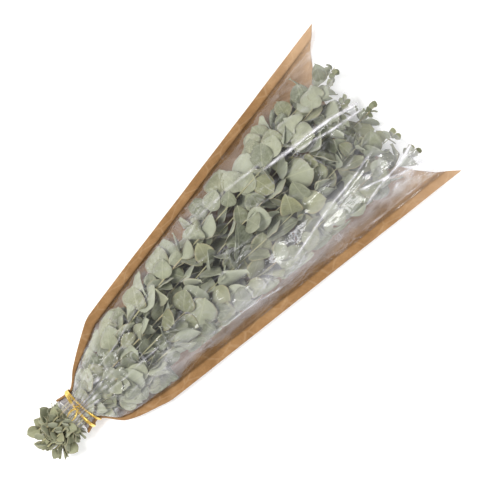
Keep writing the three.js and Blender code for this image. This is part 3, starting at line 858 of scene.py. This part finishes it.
def leaf_material():
    """Matt grey-green with a waxy bloom: midrib and side veins, paler undersides, some dry edges."""
    n = Nodes("dried_leaf")
    data = n.add("Attribute", {"attribute_name": "leaf_data"})
    parts = n.add("SeparateColor", Color=data.outputs["Color"])
    tone, dry, under = (parts.outputs[i] for i in range(3))
    edge = data.outputs["Alpha"]
    uv = n.add("UVMap", {"uv_map": "leaf_uv"})
    split = n.add("SeparateXYZ", Vector=uv.outputs["UV"])
    lengthwise = split.outputs["X"]
    off_middle = n.maths("SUBTRACT", split.outputs["Y"], 0.5)
    sideways = n.maths("ABSOLUTE", n.times(off_middle, 2.0))

    slant = n.maths("SUBTRACT", lengthwise, n.times(sideways, 0.42))
    wander = n.times(n.noise(90, 2), 0.05)
    phase = n.times(n.maths("ADD", slant, wander), 9.0)
    wave = n.maths("ABSOLUTE", n.maths("SUBTRACT", n.maths("FRACT", phase), 0.5))
    side_vein = n.times(n.ramp(wave, [(0.0, 1.0), (0.10, 0.0)]), 0.55)
    midrib = n.ramp(sideways, [(0.0, 1.0), (0.022, 0.75), (0.06, 0.0)])
    vein = n.maths("MAXIMUM", side_vein, midrib)

    dark, middle, pale = (0.105, 0.118, 0.068), (0.20, 0.213, 0.135), (0.325, 0.338, 0.238)
    base = n.ramp(tone, [(0.0, dark), (0.45, middle), (1.0, pale)])
    mottled = n.ramp(n.noise(70, 4, 0.6), [(0.3, 0.78), (0.7, 1.16)])
    colour = n.mix(1.0, base, mottled, "MULTIPLY")
    bloom = n.ramp(n.noise(170, 5, 0.65), [(0.42, 0.0), (0.75, 0.5)])
    colour = n.mix(bloom, colour, (0.345, 0.362, 0.275, 1))
    olive = n.times(n.ramp(dry, [(0.6, 0.0), (1.0, 0.75)]), n.noise(45, 2))
    colour = n.mix(olive, colour, (0.28, 0.27, 0.125, 1))
    colour = n.mix(n.times(under, 0.45), colour, (0.37, 0.395, 0.31, 1))
    colour = n.mix(n.times(vein, 0.42), colour, (0.42, 0.43, 0.29, 1))
    dried_rim = n.ramp(dry, [(0.3, 0.15), (0.9, 1.0)])
    rim = n.times(n.ramp(edge, [(0.86, 0.0), (1.0, 0.6)]), dried_rim)
    colour = n.mix(rim, colour, (0.30, 0.235, 0.13, 1))
    spots = n.times(n.ramp(n.noise(420, 2), [(0.70, 0.0), (0.76, 1.0)]), 0.5)
    colour = n.mix(n.times(spots, dry), colour, (0.20, 0.14, 0.08, 1))

    grain = n.times(n.noise(260, 4), 0.5)
    relief = n.maths("SUBTRACT", grain, n.times(vein, 0.55))
    normal = n.bump(relief, 0.45, 0.5)
    rough = n.ramp(n.noise(120, 3), [(0.3, 0.55), (0.7, 0.75)])
    wax = {"Specular_IOR_Level": 0.3, "Sheen_Weight": 0.15, "Sheen_Roughness": 0.5}
    return n.finish(n.add("BsdfPrincipled", Base_Color=colour, Roughness=rough, Normal=normal, **wax))


def stem_material():
    """Pale straw and green twig with fine lengthwise lines."""
    n = Nodes("dried_stem")
    lines = n.noise(1.0, 4, 0.6, n.stretched((60, 900, 900)))
    patch = n.noise(28, 3)
    green, straw, brown = (0.22, 0.23, 0.12), (0.36, 0.34, 0.19), (0.29, 0.20, 0.11)
    colour = n.ramp(patch, [(0.3, green), (0.5, straw), (0.72, brown)])
    colour = n.mix(n.times(lines, 0.4), colour, (0.50, 0.46, 0.31, 1))
    shader = n.add("BsdfPrincipled", Base_Color=colour, Roughness=0.7, Normal=n.bump(lines, 0.5, 0.3))
    return n.finish(shader)


# ---------- Film ----------

FILM_ROWS = 300
FILM_COLUMNS = 170
FILM_CLEAR = 0.8  # of the film above the leaves
CELL = 4.0  # of the map of leaf tops
MAP_LENGTH = 700
MAP_MARGIN = 10
RELAXING_STEPS = 500
ACROSS_PULL = 1.6  # how much harder the film pulls across than along
NECK_FADE = 55  # over which the film leaves the tie's own curve


def leaf_tops(points):
    """A height map of the highest leaf points, and a function that reads it."""
    half = MOUTH_HALF_WIDTH + MAP_MARGIN
    low = np.array([-SKIRT_LENGTH - 2 * MAP_MARGIN, -half], float)
    shape = (int(MAP_LENGTH / CELL), int(2 * half / CELL))
    tops = np.zeros(shape)
    cells = np.floor((points[:, :2] - low) / CELL).astype(int)
    inside = ((cells >= 0) & (cells < shape)).all(axis=1)
    np.maximum.at(tops, (cells[inside, 0], cells[inside, 1]), points[inside, 2])
    padded = np.pad(tops, 1)
    shifted = [padded[a : a + shape[0], b : b + shape[1]] for a in range(3) for b in range(3)]
    spread = np.maximum.reduce(shifted)

    def read(x, y):
        i = np.clip((x - low[0]) / CELL - 0.5, 0, shape[0] - 1.001)
        j = np.clip((y - low[1]) / CELL - 0.5, 0, shape[1] - 1.001)
        a, b = i.astype(int), j.astype(int)
        s, t = i - a, j - b
        return (
            spread[a, b] * (1 - s) * (1 - t)
            + spread[a + 1, b] * s * (1 - t)
            + spread[a, b + 1] * (1 - s) * t
            + spread[a + 1, b + 1] * s * t
        )

    return read


def flange_wave(x, y):
    """How the flat edges of the sleeve ripple, the same for paper and film."""
    grown = openness(x) * smooth((np.abs(y) - 55) / 60)
    return grown * (1.6 * np.sin(x / 31 + 0.02 * y) + 1.1 * np.sin(x / 13.7 + 1.3 + 0.05 * y))


def film_surface(leaf_points):
    """The film drawn tight over the leaves, between its seams."""
    u = np.linspace(0, 1, FILM_ROWS)
    x = mix(-SKIRT_LENGTH, MOUTH_AT, u)
    v = np.linspace(-1, 1, FILM_COLUMNS)
    x, v = np.meshgrid(x, v, indexing="ij")
    y = v * (inner_half_width(x, v) - 2 * GAP)
    edge = half_width(x, v)
    px = sheet_x(x, y / edge, FILM_DIP)
    dome = film_over(x, v)
    seam = seam_height(x) + PAPER_THICKNESS + GAP

    read = leaf_tops(leaf_points)
    under = np.where(px > -5, read(px, y) + FILM_CLEAR, 0)
    under = np.minimum(np.maximum(under, seam), np.maximum(dome, under))
    z = np.maximum(mix(seam, dome, 0.6), under)
    neck = smooth(1 - (x - FLAT_NECK) / NECK_FADE)
    for _ in range(RELAXING_STEPS):
        mean = z.copy()
        across = ACROSS_PULL * z[:, 2:] + ACROSS_PULL * z[:, :-2]
        mean[1:-1, 1:-1] = (z[2:, 1:-1] + z[:-2, 1:-1] + across[1:-1]) / (2 + 2 * ACROSS_PULL)
        mean[-1, 1:-1] = (z[-2, 1:-1] + across[-1]) / (1 + 2 * ACROSS_PULL)
        z = np.maximum(mean, under)
        z[:, 0], z[:, -1] = seam[:, 0], seam[:, -1]
        z = mix(z, dome, neck)
    return px, y, z, x, v


# Standing folds in the film: start x and y, end x and y, height and width.
FOLDS = [
    ((395, 56), (603, 20), 9.0, 3.8),
    ((440, 40), (590, 9), 5.5, 3.0),
    ((290, 74), (430, 60), 2.6, 2.4),
    ((330, -70), (540, -38), 3.4, 3.0),
    ((180, -52), (330, -84), 2.4, 2.4),
    ((470, -88), (600, -70), 5.0, 3.4),
    ((480, -60), (590, -104), 5.0, 3.0),
    ((60, 20), (190, 46), 2.0, 2.2),
    ((40, -10), (170, -22), 2.0, 2.2),
]
# Crumpled places: middle x, y, radius along and across, height, and the size of a facet.
CRUMPLES = [
    (552, -84, 48, 42, 7.0, 24),
    (580, -125, 30, 24, 4.0, 19),
    (585, 120, 34, 24, 4.0, 22),
    (560, 62, 44, 40, 3.5, 26),
    (44, 0, 62, 70, 2.4, 14),
    (430, -60, 80, 34, 1.6, 24),
    (250, -40, 110, 40, 1.2, 24),
]
FACET_SHIFT = (3.1, 7.7, 0)  # between one seed's cells and the next


def facets(points, size, seed):
    """Sharp crests between cells, as in crumpled film, from 0 to 1."""
    shift = Vector([part * seed for part in FACET_SHIFT])
    flat = points.reshape(-1, 3) / size
    values = [noise.voronoi(Vector(p) + shift)[0][0] for p in flat]
    return np.clip(np.array(values), 0, 1).reshape(points.shape[:-1])


def ridged(points, size, seed):
    """Noise with sharp crests, from 0 to 1."""
    return np.clip(1 - np.abs(rough_field(points, size, seed, 2)) * 2.3, 0, 1) ** 2


def fold_height(x, y, start, end, height, width):
    """How high one standing fold is: a sharp crest along a slightly wavy line."""
    start, end = np.array(start, float), np.array(end, float)
    span = end - start
    t = ((x - start[0]) * span[0] + (y - start[1]) * span[1]) / (span @ span)
    away = ((x - start[0]) * span[1] - (y - start[1]) * span[0]) / np.linalg.norm(span)
    away = away + 1.3 * np.sin(t * 9 + height)
    fade = smooth(t / 0.3) * smooth((1.1 - t) / 0.25)
    return height * fade * np.exp(-np.abs(away / width) ** 1.1)


PLEAT_HEIGHT = 3.0
PLEAT_LENGTH = 130
LONG_CREASE = 0.9
CROSS_CREASE = 0.7


def spot(x, y, cx, cy, rx, ry):
    """1 at the middle of a soft round place and 0 far from it."""
    return np.exp(-(((x - cx) / rx) ** 2) - ((y - cy) / ry) ** 2)


def crease_height(x, y, v):
    """Pleats that fan from the tie, standing folds, crumpled places and long soft creases."""
    points = stacked(x, y, np.zeros_like(x))
    fan = np.abs(np.sin(v * 15 + 1.5 * np.sin(v * 5))) ** 0.6
    pleats = fan * smooth(1 - (x - 10) / PLEAT_LENGTH) * PLEAT_HEIGHT
    long_creases = ridged(points * np.array([0.25, 1.0, 1.0]), 26, 2)
    turned = stacked(0.5 * x + 0.9 * y, 0.35 * x - 0.2 * y, 0 * x)
    cross_creases = ridged(turned, 36, 5)
    rise = pleats + openness(x) * (LONG_CREASE * long_creases + CROSS_CREASE * cross_creases)
    for fold in FOLDS:
        rise = rise + fold_height(x, y, *fold)
    for cx, cy, rx, ry, height, size in CRUMPLES:
        window = spot(x, y, cx, cy, rx, ry)
        near = window > 0.02
        rise[near] += window[near] * height * facets(points[near], size, size)
    return rise


def crumpled(x, y):
    """Where the film is crumpled or stands in a fold, from 0 to 1. It shines more there."""
    amount = np.zeros_like(x)
    for cx, cy, rx, ry, height, _ in CRUMPLES:
        amount += spot(x, y, cx, cy, rx, ry) * height / 8
    for fold in FOLDS:
        amount += fold_height(x, y, *fold) / 9
    return np.clip(amount, 0, 1)


EVERYWHERE_VEIL = 0.03
# Over the -Y half the milk is partly painted reflection of the light from that side.
RIGHT_VEIL = 0.76
LEFT_VEIL = 0.16
NECK_VEIL = 0.34
MOUTH_VEIL = 0.12
HEM_CLEARING = 0.9  # how much of the veil is gone at a hem


def film_veil(x, y, share):
    """How milky the film is: most over the -Y half, and less where it meets the hems. The milk is
    partly the film's own haze and partly painted reflection, strongest on the -Y half.
    """
    right_clearing = 1 - HEM_CLEARING * smooth((-share - 0.78) / 0.14)
    left_clearing = 1 - HEM_CLEARING * smooth((share - 0.82) / 0.12)
    right = RIGHT_VEIL * smooth(-y / 60) * right_clearing * smooth((x - 20) / 120)
    left = LEFT_VEIL * smooth((share - 0.5) / 0.2) * left_clearing
    neck = NECK_VEIL * smooth(1 - (x - 10) / 80)
    mouth = MOUTH_VEIL * smooth((x - 500) / 90)
    return np.clip(EVERYWHERE_VEIL + np.maximum(right, left) + neck + mouth, 0, 1)


def blurred(field, times):
    """A grid of numbers, each replaced a few times by the mean of its four neighbours."""
    for _ in range(times):
        padded = np.pad(field, 1, mode="edge")
        field = (padded[2:, 1:-1] + padded[:-2, 1:-1] + padded[1:-1, 2:] + padded[1:-1, :-2]) / 4
    return field


def film_material():
    """Clear film: see-through, glossy where it catches the light, milky in patches and creases. The
    milk is partly the film's own haze and partly painted reflection and painted highlights on the
    creases.
    """
    n = Nodes("clear_film")
    data = n.add("Attribute", {"attribute_name": "film_data"})
    parts = n.add("SeparateColor", Color=data.outputs["Color"])
    veil, crease, crumple = (parts.outputs[i] for i in range(3))

    long_creases = n.noise(1.0, 4, 0.6, n.stretched((14, 80, 40), 0.1), 0.5)
    cross_creases = n.noise(1.0, 3, 0.6, n.stretched((46, 22, 40), -0.7), 0.8)
    lines = [
        n.ramp(n.maths("ABSOLUTE", n.maths("SUBTRACT", field, 0.5)), [(0.0, 1.0), (width, 0.0)])
        for field, width in ((long_creases, 0.022), (cross_creases, 0.016))
    ]
    patches = n.ramp(n.noise(17, 2), [(0.45, 0.0), (0.6, 1.0)])
    ridges = n.times(n.maths("MAXIMUM", *lines), patches)
    waves = n.noise(1.0, 3, 0.5, n.stretched((26, 75, 50), 0.15))
    height = n.maths("ADD", n.times(ridges, 0.5), waves)
    normal = n.bump(height, 0.32, 1.2)

    clear = n.add("BsdfTransparent", Color=(0.985, 0.985, 0.99, 1))
    gloss = n.add("BsdfGlossy", Color=(1, 1, 1, 1), Roughness=0.13, Normal=normal)
    milk = n.add("BsdfDiffuse", Color=(0.75, 0.74, 0.78, 1))
    facing = n.add("LayerWeight", Blend=0.5, Normal=normal).outputs["Facing"]
    shine = n.maths("MULTIPLY_ADD", n.maths("POWER", facing, 5.0), 0.7, True)
    n.put(shine.node, "i2", 0.04)
    flashes = n.times(crumple, n.ramp(n.noise(55, 2), [(0.35, 0.0), (0.65, 0.19)]))
    shine = n.maths("ADD", shine, flashes, True)
    cloud = n.ramp(n.noise(1.0, 4, 0.6, n.stretched((9, 20, 14), 0.2)), [(0.38, 0.05), (0.66, 1.0)])
    broken = n.ramp(n.noise(1.0, 4, 0.65, n.stretched((45, 160, 100), 0.3)), [(0.36, 0.12), (0.6, 1.0)])
    # The veil's milk: partly the film's own haze, partly painted reflection, most over the -Y half.
    haze = n.times(n.times(veil, cloud), 0.36)
    # Milk on the crease lines and the raised crests: partly creased-film whitening, partly painted
    # highlights.
    haze = n.maths("ADD", haze, n.times(ridges, 0.2))
    haze = n.maths("ADD", haze, n.times(n.times(crease, broken), 1.15), True)
    hazy = n.add("MixShader", Fac=haze, i1=clear.outputs[0], i2=milk.outputs[0])
    return n.finish(n.add("MixShader", Fac=shine, i1=hazy.outputs[0], i2=gloss.outputs[0]))


RUFFLE_LENGTH = 36  # the stretch at the mouth where the film is wavy and its edge uneven
RUFFLE_HEIGHT = 3.5
RUFFLE_DEPTH = 6
FULL_CREASE = 2.6  # a crest this far above its surroundings is wholly white: creased-film whitening and a painted highlight
CREASE_BLUR = 14  # how many times the surroundings are smoothed
STRIP_STEPS = 4  # across the flat strip of film under each hem


def build_film(leaf_points, material):
    """The film. film_data holds its milkiness, partly painted reflection, its creases, whitened partly
    as painted highlights, and where it is crumpled.
    """
    px, y, z, x, v = film_surface(leaf_points)
    inward = 1 - np.abs(v)
    rise = crease_height(px, y, v) * smooth(inward / 0.06)
    z = z + rise + flange_wave(x, y) * smooth((np.abs(v) - 0.75) / 0.25)
    ruffle = smooth((x - MOUTH_AT + RUFFLE_LENGTH) / RUFFLE_LENGTH)
    z = z + ruffle * RUFFLE_HEIGHT * np.sin(y / 17) * smooth(inward / 0.2)
    px = px - ruffle * RUFFLE_DEPTH * (0.5 + 0.5 * np.sin(y / 23 + 0.8)) * smooth(inward / 0.1)
    core = stacked(px, y, z)
    # A crest's height above its blurred surroundings sets how white the crease is painted, more towards
    # the tie: creased-film whitening and painted highlights.
    crest = (rise - blurred(rise, CREASE_BLUR)) / FULL_CREASE * (1 + smooth(1 - px / 120))
    crease = np.clip(crest, 0, 1) ** 1.2
    values = stacked(film_veil(px, y, v), crease, crumpled(px, y), 0 * v + 1)
    values = np.pad(values, ((0, 0), (STRIP_STEPS, STRIP_STEPS), (0, 0)), mode="edge")

    sides = []
    for side, column in ((-1, 0), (1, -1)):
        edge = half_width(x[:, column], np.full(FILM_ROWS, side)) - PAPER_THICKNESS - GAP
        strip = []
        for step in np.linspace(0, 1, STRIP_STEPS + 1)[1:]:
            sy = side * mix(np.abs(y[:, column]), edge, step)
            sx = sheet_x(x[:, column], sy / (edge + PAPER_THICKNESS + GAP), FILM_DIP)
            sz = seam_height(x[:, column]) + PAPER_THICKNESS + GAP + flange_wave(x[:, column], sy)
            strip.append(stacked(sx, sy, sz))
        sides.append(np.stack(strip, axis=1))
    points = np.concatenate([sides[0][:, ::-1], core, sides[1]], axis=1)
    faces = grid_faces(points.shape[0], points.shape[1])
    film = make_piece(
        "film_sheet", points.reshape(-1, 3), faces, material, ["clear_film_front"]
    )
    write_point_data(film, "film_data", values)
    return film


# ---------- Paper ----------

PAPER_ROWS = 230
PAPER_ACROSS = 64
HALF_SHEET = 0.15  # half the drawn sheet's thickness
HEM_RISE = 0.35  # of the hem above the film that it holds
FOLD_REACH = 0.7
LAST_SHARE = 0.93  # where the hem's fold begins, from its inner edge
OVER_SHARES = (0.0, 0.25, 0.5, 0.75, LAST_SHARE)
FOLD_TURNS = (60, 30, 0, -30, -60)
UNDER_SHARES = (LAST_SHARE, 0.66, 0.33)
CRUMPLE_SIZE = 40
CRUMPLE_HEIGHT = 1.6
GATHER_HEIGHT = 1.6
GATHER_LENGTH = 90
RAGGED_FROM = 560  # where the paper's mouth edge begins to be uneven
RAGGED_DEPTH = 1.2
LOWEST = 0.02  # the paper's underside stays this far above the floor


def paper_material():
    """Brown kraft paper: fibres, cloudy pulp, soft creases and darker folds, with painted haze that
    makes it paler towards the mouth.
    """
    n = Nodes("kraft_paper")
    fibres = n.noise(1.0, 5, 0.7, n.stretched((420, 1500, 900), 0.3))
    more_fibres = n.noise(1.0, 5, 0.7, n.stretched((1300, 380, 900), 0.5))
    pulp = n.noise(38, 4, 0.6)
    dark, middle, pale = (0.215, 0.114, 0.045), (0.28, 0.157, 0.068), (0.35, 0.213, 0.103)
    colour = n.ramp(pulp, [(0.3, dark), (0.55, middle), (0.75, pale)])
    grain = n.ramp(n.times(fibres, more_fibres), [(0.12, 0.80), (0.34, 1.14)])
    colour = n.mix(1.0, colour, grain, "MULTIPLY")
    stripes = n.noise(1.0, 3, 0.5, n.stretched((6, 140, 20), 0.0))
    colour = n.mix(n.ramp(stripes, [(0.5, 0.0), (0.72, 0.35)]), colour, (0.20, 0.115, 0.053, 1))
    cells = n.stretched((26, 44, 30), 0.4)
    crumple = n.add("TexVoronoi", {"feature": "DISTANCE_TO_EDGE"}, Vector=cells, Scale=1.0)
    crease = n.ramp(crumple.outputs["Distance"], [(0.0, 1.0), (0.05, 0.0)])
    colour = n.mix(n.times(crease, 0.22), colour, (0.47, 0.33, 0.20, 1))
    # Towards the mouth the paper is painted paler: a painted haze that stands for the film's whitish
    # reflection over its corners.
    lengthwise = n.add("SeparateXYZ", Vector=n.place).outputs["X"]
    mouth_painted_haze = n.add("MapRange", Value=lengthwise, From_Min=0.22, From_Max=0.36, To_Max=0.75).outputs[0]
    mouth_painted_haze = n.times(mouth_painted_haze, n.ramp(n.noise(20, 3), [(0.35, 0.5), (0.6, 1.0)]))
    colour = n.mix(mouth_painted_haze, colour, (0.66, 0.46, 0.30, 1))
    height = n.maths("ADD", n.times(fibres, 0.35), n.times(crease, 0.8))
    height = n.maths("ADD", height, n.times(n.noise(60, 3), 0.9))
    matt = {"Roughness": 0.78, "Specular_IOR_Level": 0.25}
    normal = n.bump(height, 0.4, 0.7)
    return n.finish(n.add("BsdfPrincipled", Base_Color=colour, Normal=normal, **matt))


def build_paper(material):
    """The paper, from one hem's inner edge round its fold, under the bunch, to the other hem."""
    x = mix(-SKIRT_LENGTH, MOUTH_AT, np.linspace(0, 1, PAPER_ROWS))
    back = np.sin(np.linspace(-1, 1, PAPER_ACROSS) * math.pi / 2)
    columns = []
    for side in (-1, 1):
        sides = np.full(PAPER_ROWS, side)
        inner = inner_half_width(x, sides)
        edge = half_width(x, sides)
        seam = seam_height(x) + HALF_SHEET
        top = seam_height(x) + PAPER_THICKNESS + 3 * GAP + HEM_RISE
        middle, radius = (top + seam) / 2, (top - seam) / 2
        strip = [(mix(inner, edge, share), top + 0.25 * (1 - share)) for share in OVER_SHARES]
        for turn in map(math.radians, FOLD_TURNS):
            reach = edge - FOLD_REACH + FOLD_REACH * math.cos(turn)
            strip.append((reach, middle + radius * math.sin(turn)))
        strip += [(mix(inner, edge, share), seam) for share in UNDER_SHARES]
        grid = []
        for reach, z in strip:
            sy = side * reach
            sx = sheet_x(x, np.clip(reach / edge, 0, 1), PAPER_DIP)
            grid.append(stacked(sx, sy, z + flange_wave(x, sy)))
        columns.append(np.stack(grid, axis=1))
    px, share = np.meshgrid(x, back, indexing="ij")
    inner = inner_half_width(px, share)
    y = share * inner
    z = paper_under(px, share) + HALF_SHEET
    sx = sheet_x(px, y / half_width(px, share), PAPER_DIP)
    crumple = np.maximum(0, rough_field(stacked(sx, y, 0 * y), CRUMPLE_SIZE, 3))
    gathers = np.abs(np.sin(share * 11)) * GATHER_HEIGHT * smooth(1 - (px - 12) / GATHER_LENGTH)
    raised = smooth((np.abs(share) - 0.8) / 0.2)
    z = z + crumple * CRUMPLE_HEIGHT * openness(px) + gathers * (1 - np.abs(share))
    z = z + flange_wave(px, y) * raised
    tray = stacked(sx, y, z)
    points = np.concatenate([columns[0], tray, columns[1][:, ::-1]], axis=1)
    ragged = RAGGED_DEPTH * smooth((points[..., 0] - RAGGED_FROM) / 40)
    points[..., 0] -= ragged * (1 + np.sin(points[..., 1] / 5.3) * np.sin(points[..., 1] / 11.9))
    shell, faces = sheet_shell(points, 2 * HALF_SHEET)
    shell[:, 2] = np.maximum(shell[:, 2], LOWEST)
    return make_piece("paper_sheet", shell, faces, material, ["kraft_paper_back"])


# ---------- Ribbon ----------

TIE_HALF_WIDTH = NECK_HALF_WIDTH + 0.4 + GAP + RIBBON_THICKNESS / 2
TIE_HALF_HEIGHT = NECK_HEIGHT / 2 + GAP + RIBBON_THICKNESS / 2
RIBBON_SHEET = 0.25  # the drawn ribbon's thickness
RIBBON_LOWEST = 0.05
RIBBON_UNDER = 0.5  # height of the ribbon's middle line where it passes under the neck
# Each winding's x at its -Y and +Y sides, its width and how far outside the tie's curve it is.
WINDINGS = ((5.6, 1.6, 3.2, 0.3), (-7.5, -1.2, 4.4, 0.75))
KNOT_WIDTH = 2.6
TAIL_WIDTH = 2.5


def gold_material():
    """Metallised ribbon with fine lengthwise lines."""
    n = Nodes("gold_ribbon")
    lines = n.noise(1.0, 3, 0.6, n.stretched((2600, 300, 300)))
    colour = n.ramp(n.noise(150, 3), [(0.35, (0.70, 0.42, 0.07)), (0.65, (0.95, 0.70, 0.22))])
    rough = n.ramp(lines, [(0.3, 0.2), (0.7, 0.38)])
    look = {"Metallic": 0.9, "Roughness": rough, "Normal": n.bump(lines, 0.4, 0.25)}
    return n.finish(n.add("BsdfPrincipled", Base_Color=colour, **look))


def ribbon(path, outward, width, thickness):
    """A flat ribbon along a path, its face turned outward: a closed strip (points, faces)."""
    path, outward = np.asarray(path, float), np.asarray(outward, float)
    forward = np.gradient(path, axis=0)
    forward /= np.linalg.norm(forward, axis=1, keepdims=True)
    outward = outward - forward * (outward * forward).sum(1, keepdims=True)
    outward /= np.linalg.norm(outward, axis=1, keepdims=True)
    sideways = np.cross(forward, outward)
    shares = np.linspace(-1, 1, 5)
    bow = 0.18 * width * (1 - shares**2)
    grid = (
        path[:, None]
        + sideways[:, None] * (shares * width / 2)[None, :, None]
        + outward[:, None] * bow[None, :, None]
    )
    return sheet_shell(grid, thickness)


def build_windings(material):
    """Two flat turns of ribbon round the neck, nearer each other at its +Y side."""
    turns = np.linspace(0, 2 * math.pi, 97)
    points, faces = [], []
    for right_x, left_x, width, grow in WINDINGS:
        wobble = 0.3 * np.sin(3 * turns + right_x)
        x = mix(right_x, left_x, (1 + np.sin(turns)) / 2) + wobble
        y = (TIE_HALF_WIDTH + grow) * np.sin(turns)
        z = NECK_CENTRE + (TIE_HALF_HEIGHT + grow) * np.cos(turns)
        z = np.maximum(z, RIBBON_UNDER)
        outward = stacked(0 * turns, np.sin(turns), np.cos(turns))
        turn, quads = ribbon(stacked(x, y, z), outward, width, RIBBON_SHEET)
        faces += [tuple(i + sum(map(len, points)) for i in quad) for quad in quads]
        points.append(turn)
    points = np.concatenate(points)
    points[:, 2] = np.maximum(points[:, 2], RIBBON_LOWEST)
    make_piece("ribbon_turns", points, faces, material, ["tie_ribbon"])


def build_knot(centre, material):
    """A small twisted loop of ribbon about a centre."""
    loop = np.linspace(0, 2 * math.pi, 49)
    knot = np.stack(
        [
            centre[0] + 2.0 * np.cos(loop) * (1 + 0.25 * np.cos(3 * loop)),
            centre[1] + 2.6 * np.sin(loop),
            centre[2] - 0.3 + 1.1 * np.sin(2 * loop + 0.6),
        ],
        axis=-1,
    )
    facing = knot - centre + np.array([0, 0, 1.5])
    points, faces = ribbon(knot, facing, KNOT_WIDTH, RIBBON_SHEET)
    make_piece("ribbon_knot", points, faces, material, ["tie_knot"])


def build_tail(name, side, centre, material):
    """One short end of the ribbon, from the knot to the end of the CAD one."""
    node = "tie_tail_" + name
    low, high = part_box(node)
    middle = from_frame((low + high) / 2)
    start = centre + np.array([-2.2, 1.6 * side, 0.4])
    end = np.array([from_frame(low)[0], middle[1], middle[2]])
    t = np.linspace(0, 1, 30)[:, None]
    path = mix(start, end, t)
    path[:, 1] += 1.8 * side * np.sin(math.pi * t[:, 0])
    path[:, 2] += 2.2 * np.sin(math.pi * t[:, 0]) - 0.6 * t[:, 0]
    turn = 1.2 * t[:, 0] * side
    outward = stacked(0 * turn, np.sin(turn), np.cos(turn))
    points, faces = ribbon(path, outward, TAIL_WIDTH, RIBBON_SHEET)
    make_piece("ribbon_tail_" + name, points, faces, material, [node])


def build_ribbon(material):
    build_windings(material)
    low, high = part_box("tie_knot")
    centre = from_frame((low + high) / 2)
    build_knot(centre, material)
    build_tail("left", 1, centre, material)
    build_tail("right", -1, centre, material)


# ---------- Floor ----------

FLOOR_GLOW = 0.22  # a lit table, which keeps the shadows soft
FLOOR_HALF = 6


def build_floor():
    """A plain pale floor."""
    n = Nodes("studio_floor")
    tone = n.ramp(n.noise(3, 2), [(0.3, 0.90), (0.7, 0.93)])
    glow = {"Emission_Color": (1, 1, 1, 1), "Emission_Strength": FLOOR_GLOW}
    material = n.finish(n.add("BsdfPrincipled", Base_Color=tone, Roughness=0.9, **glow))
    mesh = bpy.data.meshes.new("floor")
    corners = [(FLOOR_HALF * x, FLOOR_HALF * y, 0) for x, y in ((-1, -1), (1, -1), (1, 1), (-1, 1))]
    mesh.from_pydata(corners, [], [(0, 1, 2, 3)])
    mesh.materials.append(material)
    floor = bpy.data.objects.new("floor", mesh)
    bpy.context.scene.collection.objects.link(floor)


# ---------- Everything together ----------

build_floor()
leaves_look = leaf_material()
stems_look = stem_material()
sprigs = sprig_list()
foliage = grow_foliage(sprigs, SPRIGS)
for number, (sprig, node) in enumerate(zip(sprigs, SPRIGS)):
    own = [found for found in foliage.blades if found["sprig"] == number]
    build_sprig(number, sprig, node, own, leaves_look, stems_look)
leaf_points = np.concatenate([found["points"].reshape(-1, 3) for found in foliage.blades])
paper = build_paper(paper_material())
film = build_film(leaf_points, film_material())
build_ribbon(gold_material())
